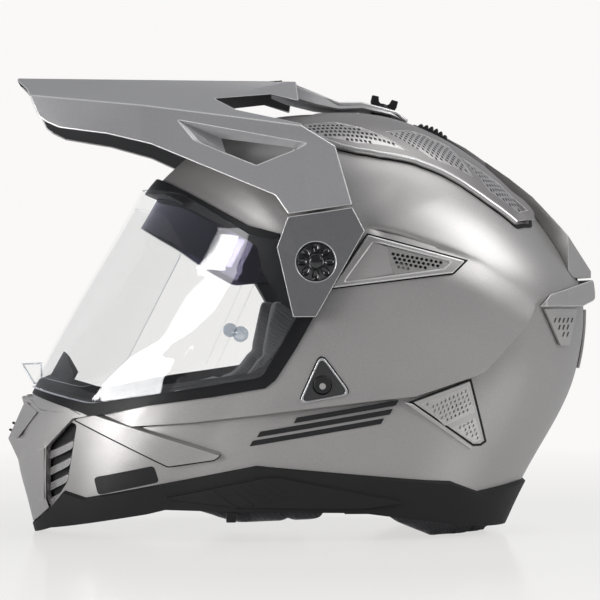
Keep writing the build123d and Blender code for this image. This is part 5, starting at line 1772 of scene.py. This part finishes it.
@dataclass
class Peak:
    """The sun peak with its scooped notches, its pods and its wing screw."""

    depth: float = 11.0
    lip: float = 1.4
    wall: float = 1.4
    notch_from: float = 60.0
    notch_to: float = 160.0

    notch: Shares = (
        (-0.214, 0.893), (-0.008, 0.841), (-0.022, 0.831), (-0.089, 0.795), (-0.137, 0.821), (-0.189, 0.851),
    )
    hole: Shares = ((-0.144, 0.855), (-0.022, 0.831), (-0.089, 0.795), (-0.137, 0.821))
    folds: Shares = (
        (-0.490, 0.15, 0.999, 0.475, 0.957, 0.520, 0.860), (-0.275, 0.20, 0.997, 0.650, 0.928, 0.800, 0.820),
        (-0.130, 0.23, 0.994, 0.765, 0.902, 0.990, 0.735), (-0.013, 0.25, 0.991, 0.850, 0.880, 1.096, 0.685),
        (0.100, 0.25, 0.991, 0.910, 0.830, 1.096, 0.685),
    )
    bridge: Shares = (
        (-0.050, 0.250, 0.991, 0.968), (-0.022, 0.245, 0.990, 0.953), (0.022, 0.225, 0.968, 0.938),
        (0.060, 0.190, 0.949, 0.931), (0.100, 0.170, 0.950, 0.934), (0.150, 0.140, 0.934, 0.921),
        (0.172, 0.105, 0.919, 0.910), (0.180, 0.060, 0.914, 0.908),
    )

    def build(self) -> None:
        """Dress the peak, then cut the notches and line them, and fill the bridge to the crown."""
        peak = dress("peak_shell", Finish.PEAK, 0.8, 24.0, "peak_hood", Finish.PAINTED_HIGHLIGHT, 0.3, 5.0)
        peak.modifiers["rounded_edges"].use_clamp_overlap = False
        for side in BOTH_SIDES:
            carve(peak, FORM.spots(self.notch), side.sign * self.notch_from, side.sign * self.notch_to)
            self.facets(side)
        painted(peak, Finish.UNDER, self.underside)
        self.lay_bridge()
        for side in BOTH_SIDES:
            pod = dress("pod_" + side.value, Finish.POD, 1.0, 24.0, "pod_cap_" + side.value, Finish.PAINTED_HIGHLIGHT, 0.3, 1.0)
            painted(pod, Finish.UNDER, lambda centres, normals: normals[:, 1] * np.sign(centres[:, 1]) < -0.3)
        dress("peak_boss", Finish.PLASTIC, 0.0)

    def underside(self, centres: Array, normals: Array) -> Array:
        """The faces that look inwards or down."""
        return normals[:, 1] * np.sign(centres[:, 1]) + normals[:, 2] < -0.35

    def across(self, places: Array) -> Array:
        """How far the hood's side stands from the middle plane at side-view places.

        Between two cross sections the fold lines run straight; between the folds the side is flat.

        Args:
            places: the places, as rows.

        Returns:
            Millimetres.
        """
        rows = np.array(self.folds)
        x = rows[:, 0] * FORM.length
        fold = [np.interp(places[:, 0], x, rows[:, k]) for k in range(1, 7)]
        heights = np.stack([fold[1], fold[3], fold[5]]) * FORM.height
        widths = np.stack([fold[0], fold[2], fold[4]]) * FORM.half_width
        upper = (heights[0] - places[:, 1]) / (heights[0] - heights[1])
        lower = (heights[1] - places[:, 1]) / (heights[1] - heights[2])
        above = widths[0] + (widths[1] - widths[0]) * np.clip(upper, 0, 1)
        return np.where(upper < 1, above, widths[1] + (widths[2] - widths[1]) * np.clip(lower, 0, 1))

    def facets(self, side: Side) -> None:
        """Line a side's notch with two slopes that fall from its rim to the hole, as thin closed plates.

        Args:
            side: the side.
        """
        sign = side.sign
        notch, hole = FORM.spots(self.notch), FORM.spots(self.hole)
        falls = (self.depth, self.lip, self.lip, self.depth / 2)
        rim = np.stack([notch[:, 0], sign * (self.across(notch) - 0.4), notch[:, 1]], -1)
        deep = np.stack([hole[:, 0], sign * (self.across(hole) - falls), hole[:, 1]], -1)
        slopes = ([rim[0], rim[1], deep[1], deep[0]], [rim[0], deep[0], deep[3], rim[4], rim[5]])
        for number, corners in enumerate(slopes):
            outer = np.array(corners)
            inner = outer - (0, sign * self.wall, 0)
            place(plate(f"peak_scoop_{number + 1}_{side.value}", outer, inner, Finish.PEAK, 20.0), "peak")

    def lay_bridge(self) -> None:
        """Make the body between the roof and the wing screw: an eight-cornered section along the tongue."""
        rows = np.array(self.bridge) * (FORM.length, FORM.half_width, FORM.height, FORM.height)
        x, half, top, low = rows.T[:, :, None]
        across = np.array([-0.90, 0.90, 1.0, 1.04, 0.98, -0.98, -1.04, -1.0])
        up = np.array([1.0, 1.0, 0.86, 0.15, 0.0, 0.0, 0.15, 0.86])
        points = np.stack([x + 0 * across, half * across, low + (top - low) * up], -1)
        faces = tube(len(rows), len(across))
        body = closed_piece("peak_bridge", points.reshape(-1, 3), faces, Finish.PEAK, 24.0)
        place(bevelled(body, 0.8, 24.0, Finish.PAINTED_HIGHLIGHT), "peak")


@dataclass
class WingScrew:
    """The wing screw on the peak's tongue: a base disc, a hub and two flared wings."""

    place_shares: tuple[float, float] = (0.138, 0.9375)
    slope: float = 14.0
    radius: float = 8.0
    thick: float = 2.6
    around: int = 48
    wing: Shares = ((0.6, 1.0), (1.2, 2.6), (3.6, 4.6), (4.6, 7.8), (8.9, 7.6), (8.9, 3.2), (8.0, 1.0))
    disc: Shares = ((0.01, -0.1), (7.6, -0.1), (8.0, 0.4), (8.0, 1.3), (7.5, 1.7), (3.9, 1.9), (3.4, 3.6), (0.01, 4.0))

    def build(self) -> None:
        """Make the turned body, then the wings as flared plates on it."""
        r, up = np.array(self.disc).T[:, :, None]
        turn = full_turn(self.around)
        body = np.stack([r * np.cos(turn), r * np.sin(turn), up + 0 * turn], -1).reshape(-1, 3)
        self.add("wing_screw_body", body, tube(len(self.disc), self.around), "peak_knob")
        for number, sign in enumerate((-1, 1)):
            points, faces = prism(np.array(self.wing) * (sign, 1), -self.thick, self.thick)
            self.add(f"wing_screw_wing_{number + 1}", points, faces)

    def add(self, name: str, local: Array, faces: list[list[int]], *nodes: str) -> None:
        """Place a shape that is given along the tongue, across it and out of it.

        Args:
            name: the piece's name.
            local: its points, as rows.
            faces: each face's points.
            nodes: the nodes that it stands for.
        """
        lean = math.radians(self.slope)
        x, z = FORM.spots(self.place_shares)
        along, across, up = local.T
        points = np.stack([x + along * math.cos(lean) + up * math.sin(lean), across,
                           z - along * math.sin(lean) + up * math.cos(lean)], -1)
        piece = closed_piece(name, points, faces, Finish.PLASTIC, 35.0)
        place(bevelled(piece, 0.35, 35.0), "peak_knob", *nodes)


@dataclass
class CrownSlider:
    """The slider beside the ridge: a thin curved bar whose front end has finger teeth."""

    side: Side
    centre: tuple[float, float] = (0.044, 0.375)
    radius: float = 165.2
    place_across: float = 21.96
    half: float = 3.1
    first_angle: float = 70.4
    last_angle: float = 53.6
    teeth: tuple[float, float] = (69.4, 62.2)
    count: int = 6
    wall: float = 1.7
    tooth: float = 3.4

    def build(self) -> None:
        """Make the bar: its height tapers to the rear, and rises and falls over the teeth."""
        angle = np.linspace(self.first_angle, self.last_angle, 240)
        x, z = FORM.spots(self.centre)
        share = (self.teeth[0] - angle) / (self.teeth[0] - self.teeth[1])
        held = (share > 0) & (share < 1)
        wave = np.where(held, np.sqrt(np.abs(np.sin(math.pi * self.count * share))), 0.0)
        swell = np.sqrt(np.clip(np.sin(math.pi * np.clip(share, 0.12, 0.9)), 0, 1))
        taper = 0.25 + 0.75 * ease((angle - self.last_angle) / (self.teeth[1] - self.last_angle))
        high = self.radius + self.wall * taper + self.tooth * wave * swell
        across = np.array([1.0, 1.0, 0.8, -0.8, -1.0, -1.0]) * self.half
        rise = np.array([0.0, 0.75, 1.0, 1.0, 0.75, 0.0])
        low = self.radius - 1.0
        reach = low + (high[:, None] - low) * rise
        turn = np.radians(angle)[:, None]
        sign = self.side.sign
        points = np.stack([x + reach * np.cos(turn), sign * (self.place_across + across) + 0 * reach,
                           z + reach * np.sin(turn)], -1)
        tail = self.side.value
        bar = closed_piece("slider_bar_" + tail, points.reshape(-1, 3), tube(len(angle), len(rise)), Finish.PLASTIC,
                           40.0)
        place(bar, "crown_slider_" + tail, "crown_slider_" + tail)


@dataclass
class Louvre:
    """The slanted slats in the opening beside the chin, before a dark back."""

    side: Side
    back: float = -4.6
    low: float = -3.6
    high: float = 0.5
    thick: float = 0.0165
    fall: float = 2.4
    fall_start: float = -0.398
    fall_run: float = 12.0

    slats: Shares = (
        (-0.433, 0.177, -0.3845, 0.2115), (-0.433, 0.141, -0.3895, 0.1745), (-0.433, 0.107, -0.394, 0.1385),
        (-0.431, 0.074, -0.399, 0.102),
    )

    def lean(self, x: Array, z: Array) -> Array:
        """A slat's height, which falls towards its front end."""
        return self.high - self.fall * ease((FORM.length * self.fall_start - x) / self.fall_run)

    def build(self) -> None:
        """Make the back and the slats, which are cut to the opening."""
        tail = self.side.value
        hole = rounded(FORM.spots(LINES.louvre), 3.0)
        back = Patch([FORM.trace(grown(FORM.spots(LINES.louvre), 3.0), 0.0, 0.02)], step=0.03)
        Slab("louvre_back_" + tail, back, self.back - 1.0, self.back, Finish.PLASTIC, self.side).lay()
        for number, (x1, z1, x2, z2) in enumerate(self.slats):
            bar = FORM.spots(((x1, z1), (x2, z2), (x2 - 0.0015, z2 - self.thick), (x1, z1 - self.thick)))
            keep = [FORM.trace(hole, 0.0, 0.008), FORM.trace(rounded(bar, 2.0), 0.0, 0.008)]
            nodes = ("chin_louvre_" + tail,) if number == 0 else ()
            Slab(f"louvre_slat_{number + 1}_{tail}", Patch(keep, step=0.012), self.low, self.lean, Finish.SLATS,
                 self.side, bevel=0.5, edge=Finish.PAINTED_HIGHLIGHT).lay(*nodes)


@dataclass
class ChinMask:
    """The chin's front cover with its flat-cut facets: a brow over a hollow, a cheek and an upright chamfer.

    A facet is a row of corners: two shares of the sizes in the side view, and how far the corner stands
    off the cover, in millimetres.
    """

    sunk: float = 1.0
    facets: tuple[tuple[tuple[float, float, float], ...], ...] = (
        ((-0.472, 0.300, 0.2), (-0.457, 0.301, 0.2), (-0.387, 0.277, 0.2), (-0.372, 0.266, 0.3),
         (-0.415, 0.271, 1.6), (-0.444, 0.272, 3.4)),
        ((-0.470, 0.287, 0.3), (-0.448, 0.268, 3.0), (-0.482, 0.210, 2.6), (-0.494, 0.208, 0.3)),
        ((-0.446, 0.1870, 0.3), (-0.436, 0.192, 1.5), (-0.4365, 0.080, 1.5), (-0.446, 0.074, 0.3)),
    )

    def build(self) -> None:
        """Dress the cover and set the facets on both of its sides."""
        cover = dress("chin_mask", Finish.COVER, 1.0, edge=Finish.PAINTED_HIGHLIGHT)
        tree = BVHTree.FromPolygons([point.co / MM for point in cover.data.vertices],
                                    [tuple(face.vertices) for face in cover.data.polygons])
        for number, corners in enumerate(self.facets):
            rows = np.array(corners) * (FORM.length, FORM.height, 1.0)
            reach = np.array([self.surface(tree, x, z) for x, z in rows[:, :2]])
            for side in BOTH_SIDES:
                outer, inner = (np.stack([rows[:, 0], side.sign * (reach + off), rows[:, 1]], -1)
                                for off in (rows[:, 2], -self.sunk))
                facet = plate(f"chin_facet_{number + 1}_{side.value}", outer, inner, Finish.COVER, 12.0)
                place(bevelled(facet, 0.5, 20.0, Finish.PAINTED_HIGHLIGHT), "root")

    def surface(self, tree: BVHTree, x: float, z: float) -> float:
        """How far the cover's outer side stands from the middle plane at a side-view place."""
        hit = tree.ray_cast((x, -200.0, z), (0.0, 1.0, 0.0))[0]
        return -hit[1] if hit else 10.0


@dataclass
class ChinBlade:
    """The wing-shaped plate that runs back from the mask over the flank's lower crease."""

    side: Side
    low: float = 0.3
    high: float = 4.1

    def build(self) -> None:
        """Make the plate and the dark joint round it."""
        tail = self.side.value
        outline = rounded(FORM.spots(LINES.blade), 1.6)
        gap_line("blade_joint_" + tail, outline, 0.5, self.side, 0.75)
        blade = Patch([FORM.trace(outline, self.high, 0.012)], step=0.015)
        Slab("chin_wing_" + tail, blade, self.low, self.high, Finish.SHELL, self.side,
             bevel=0.9).lay("chin_blade_" + tail)


@dataclass
class RearGrille:
    """The slotted grille under the rear lip."""

    side: Side

    outline: Shares = ((0.388, 0.492), (0.454, 0.492), (0.438, 0.413), (0.420, 0.413))

    def build(self) -> None:
        """Make the plate with its slanted slots."""
        tail = self.side.value
        Screen("rear_grille_plate_" + tail, FORM.spots(self.outline), 0.5, 2.1, "rear_grille_" + tail, self.side,
               (3.3, 4.6), (0.85, 2.2), 0.35, 0.0, 4, margin=1.1).build()


@dataclass
class Padding:
    """A stuffed piece of the lining: blown up as cloth from its own solid, then drawn in along its seams."""

    node: str
    seams: tuple[tuple[float, float, float, float], ...] = ()
    finish: Finish = Finish.LINING
    voxel: float = 4.6
    slack: float = 1.6
    swell: float = 2.6
    groove: float = 1.5
    groove_width: float = 2.2
    middle: float = 130.0
    frames: int = 20
    pressure: float = 4.0

    def build(self) -> None:
        """Remesh the solid, shrink it, blow it up, cap its swelling, smooth it once and sew it."""
        source = frame["nodes"][self.node]
        mesh = source.data.copy()
        mesh.name = self.node + "_stuffed"
        merged(mesh, 0.001)
        piece = linked(mesh.name, mesh)
        remesh = piece.modifiers.new("even_faces", "REMESH")
        remesh.mode, remesh.voxel_size = "VOXEL", self.voxel * MM
        self.keep(piece)
        facing = gather(piece.data.vertex_normals, "vector")
        start = self.read(piece) - facing * self.slack
        self.write(piece, start)
        self.blow(piece)
        move = self.read(piece) - start
        length = np.linalg.norm(move, axis=1, keepdims=True)
        free = np.minimum(1.0, self.swell / np.maximum(length, 1e-6))
        self.write(piece, start + move * free * self.loose(start, facing))
        smooth = piece.modifiers.new("smooth", "SUBSURF")
        smooth.levels = smooth.render_levels = 1
        self.keep(piece)
        self.sew(piece)
        piece.data.materials.clear()
        piece.data.materials.append(self.finish.material())
        piece.data.shade_smooth()
        place(piece, source["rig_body"], self.node)

    def loose(self, points: Array, facing: Array) -> Array:
        """How freely a point may swell: not at all where its cover lies against the shell or its liner.

        Args:
            points: the points, as rows.
            facing: their normals.

        Returns:
            0 to 1 for each.
        """
        away = points - np.array([FORM.pivot[0], 0.0, self.middle])
        away /= np.linalg.norm(away, axis=1, keepdims=True)
        return np.clip(0.5 - (away * facing).sum(1, keepdims=True), 0.0, 1.0)

    def keep(self, piece: Object) -> None:
        """Make what the modifiers show the piece's own mesh, and take them off.

        Args:
            piece: the piece.
        """
        result = shown(piece)
        piece.modifiers.clear()
        piece.data = result

    def read(self, piece: Object) -> Array:
        """The piece's points in millimetres."""
        return gather(piece.data.vertices, "co") / MM

    def write(self, piece: Object, points: Array) -> None:
        """Put the piece's points back."""
        piece.data.vertices.foreach_set("co", (points * MM).astype(np.float32).ravel())
        piece.data.update()

    def blow(self, piece: Object) -> None:
        """Let the cover swell under pressure, without weight, and keep the shape it takes.

        Args:
            piece: the piece.
        """
        cloth = piece.modifiers.new("cover", "CLOTH")
        cloth.settings.use_pressure = True
        cloth.settings.uniform_pressure_force = self.pressure
        cloth.settings.effector_weights.gravity = 0.0
        cloth.point_cache.frame_start, cloth.point_cache.frame_end = 1, self.frames
        for number in range(1, self.frames + 1):
            bpy.context.scene.frame_set(number)
        self.keep(piece)
        bpy.context.scene.frame_set(1)

    def sew(self, piece: Object) -> None:
        """Draw the cover in along its seams.

        A seam is a plane: a point's coordinates, weighted by the seam's first three numbers, add up to its
        fourth, in millimetres. A point sinks by the groove's depth times exp(-(distance / width) squared).

        Args:
            piece: the piece.
        """
        points = self.read(piece)
        sink = np.zeros(len(points))
        for *across, offset in self.seams:
            way = np.array(across)
            size = np.linalg.norm(way)
            distance = (points @ way - offset) / size
            sink = np.maximum(sink, np.exp(-(distance / self.groove_width) ** 2))
        points -= gather(piece.data.vertex_normals, "vector") * (self.groove * sink)[:, None]
        points[:, 2] = np.maximum(points[:, 2], 0.0)
        self.write(piece, points)


@dataclass
class Studio:
    """The floor, the lamps, the world and the camera."""

    floor_half: float = 6.0
    backdrop: Colour = (0.955, 0.945, 0.93)
    sky: Colour = (0.93, 0.95, 1.0)
    near_floor: float = 0.30
    far_floor: float = 1.10
    glow_share: float = 0.68
    world_level: float = 0.35
    world_swing: float = -0.16
    dark_side: tuple[float, float, float] = (-0.1, -0.98, 0.1)
    lens: float = 170.1
    sensor: float = 36.0
    eye: tuple[float, float, float] = (-0.1008, -1.8974, 0.1534)
    yaw: float = -3.0

    def build(self) -> None:
        """Set up the view and the light."""
        scene = bpy.context.scene
        scene.view_settings.view_transform = "Standard"
        self.camera()
        self.floor()
        self.world()
        self.lamp("key", (-1.9, -1.7, 0.9), (-0.1, 0.0, 0.17), 1.0, 0.9, 11.0)
        self.lamp("front_fill", (-2.0, -1.3, 0.5), (0.0, 0.0, 0.12), 1.1, 0.9, 37.0)
        self.lamp("rear_side", (2.0, -1.0, 1.5), (0.1, 0.0, 0.15), 1.1, 1.2, 36.0)
        self.lamp("top", (0.9, 0.3, 2.2), (0.05, 0.0, 0.2), 1.4, 1.1, 14.0)

    def camera(self) -> None:
        """A level camera at the wearer's left."""
        data = bpy.data.cameras.new("view")
        data.lens = self.lens
        data.sensor_width = self.sensor
        data.clip_end = 100.0
        camera = linked("view", data)
        camera.location = self.eye
        camera.rotation_euler = (math.radians(90), 0.0, math.radians(self.yaw))
        bpy.context.scene.camera = camera

    def floor(self) -> None:
        """A pale glossy floor that keeps the object's shadow."""
        half = self.floor_half
        mesh = bpy.data.meshes.new("floor")
        mesh.from_pydata([(-half, -half, 0.0), (half, -half, 0.0), (half, half, 0.0), (-half, half, 0.0)], [],
                         [(0, 1, 2, 3)])
        floor = linked("floor", mesh)
        shader = Shader("floor")
        shader.set(Base_Color=(0.86, 0.855, 0.845, 1.0), Roughness=0.12, Specular_IOR_Level=1.0)
        path = shader.node("LightPath", {}, {})
        glow = shader.node("Emission", {}, {"Color": (*self.backdrop, 1.0), "Strength": 1.0})
        away = shader.wire(shader.node("VectorMath", {"operation": "LENGTH"}, {0: shader.coords()}), "Value")
        far = ((away - self.near_floor) * (1 / (self.far_floor - self.near_floor))).clamped()
        share = far * (1 - self.glow_share) + self.glow_share
        shader.mixed(shader.wire(path, "Is Camera Ray") * share, shader.surface, glow)
        mesh.materials.append(shader.material)

    def world(self) -> None:
        """A soft world, dimmer on one side, that the camera sees as a pale backdrop, through clear sheet too."""
        world = bpy.data.worlds.new("studio")
        bpy.context.scene.world = world
        world.use_nodes = True
        nodes = Nodes(world.node_tree, "World Output")
        way = nodes.wire(nodes.node("TexCoord", {}, {}), "Generated")
        product = nodes.node("VectorMath", {"operation": "DOT_PRODUCT"}, {0: way, 1: self.dark_side})
        facing = nodes.wire(product, "Value")
        light = nodes.tree.nodes["Background"]
        nodes.feed(light, "Color", (*self.sky, 1.0))
        nodes.feed(light, "Strength", facing * self.world_swing + self.world_level)
        seen = nodes.node("Background", {}, {"Color": (*self.backdrop, 1.0)})
        path = nodes.node("LightPath", {}, {})
        straight = nodes.wire(path, "Is Camera Ray")
        nodes.mixed(straight.math("MAXIMUM", straight, nodes.wire(path, "Is Transmission Ray")), light, seen)

    def lamp(self, name: str, where: Sequence[float], aim: Sequence[float], width: float, height: float,
             power: float) -> None:
        """Add a soft rectangular lamp that points at a place.

        Args:
            name: its name.
            where, aim: its place, and the place it points at, in metres.
            width, height: its size in metres.
            power: in watts.
        """
        data = bpy.data.lights.new(name, "AREA")
        data.shape = "RECTANGLE"
        data.size, data.size_y = width, height
        data.energy = power
        lamp = linked(name, data)
        lamp.location = where
        lamp.rotation_euler = (Vector(where) - Vector(aim)).to_track_quat("Z", "Y").to_euler()


REST = {
    Finish.TRIM: ("strap_rivets",),
    Finish.GASKET: ("breath_guard",),
    Finish.PLASTIC: ("hinge_base_left", "hinge_base_right", "chin_slider", "sun_lever", "ratchet_strap",
                     "chin_vent_grille"),
    Finish.EDGE: ("lens_pins",),
    Finish.MESH: ("tail_grille",),
    Finish.FOAM: ("impact_liner", "chin_liner"),
    Finish.WEBBING: ("chin_strap_left", "chin_strap_right"),
    Finish.RED: ("cheek_pull_tabs",),
    Finish.STEEL: ("buckle_body", "buckle_lever"),
}


PADS: dict[str, tuple[tuple[float, float, float, float], ...]] = {
    "crown_pad": ((0.0, 1.0, 0.0, 27.0), (0.0, 1.0, 0.0, -27.0), (1.0, 0.0, 0.0, 48.0)),
    "cheek_pad_left": ((1.0, 0.0, 0.45, -8.0), (1.0, 0.0, 0.45, 22.0)),
    "cheek_pad_right": ((1.0, 0.0, 0.45, -8.0), (1.0, 0.0, 0.45, 22.0)),
    "neck_roll": ((0.0, 1.0, 0.0, 0.0), (0.0, 1.0, 0.0, 52.0), (0.0, 1.0, 0.0, -52.0)),
}


def main() -> None:
    """Build every sub-assembly in order, then the studio."""
    logging.basicConfig(level=logging.INFO, format="%(message)s")
    for finish, nodes in REST.items():
        for node in nodes:
            dress(node, finish)
    for node in ("centre_spine", "rear_spoiler"):
        dress(node, Finish.COVER, 1.0, edge=Finish.PAINTED_HIGHLIGHT)
    ChinMask().build()
    for node, seams in PADS.items():
        Padding(node, seams).build()
    PaintedShell().build()
    EyePort().build()
    Trim().build()
    Peak().build()
    WingScrew().build()
    for side in BOTH_SIDES:
        for assembly in (SideVent, RearVent, CrownVent, CrownSlider, Dial, SideButton, Louvre, ChinBlade, RearGrille):
            assembly(side).build()
    Marks().build()
    Studio().build()


if __name__ == "__main__":
    main()
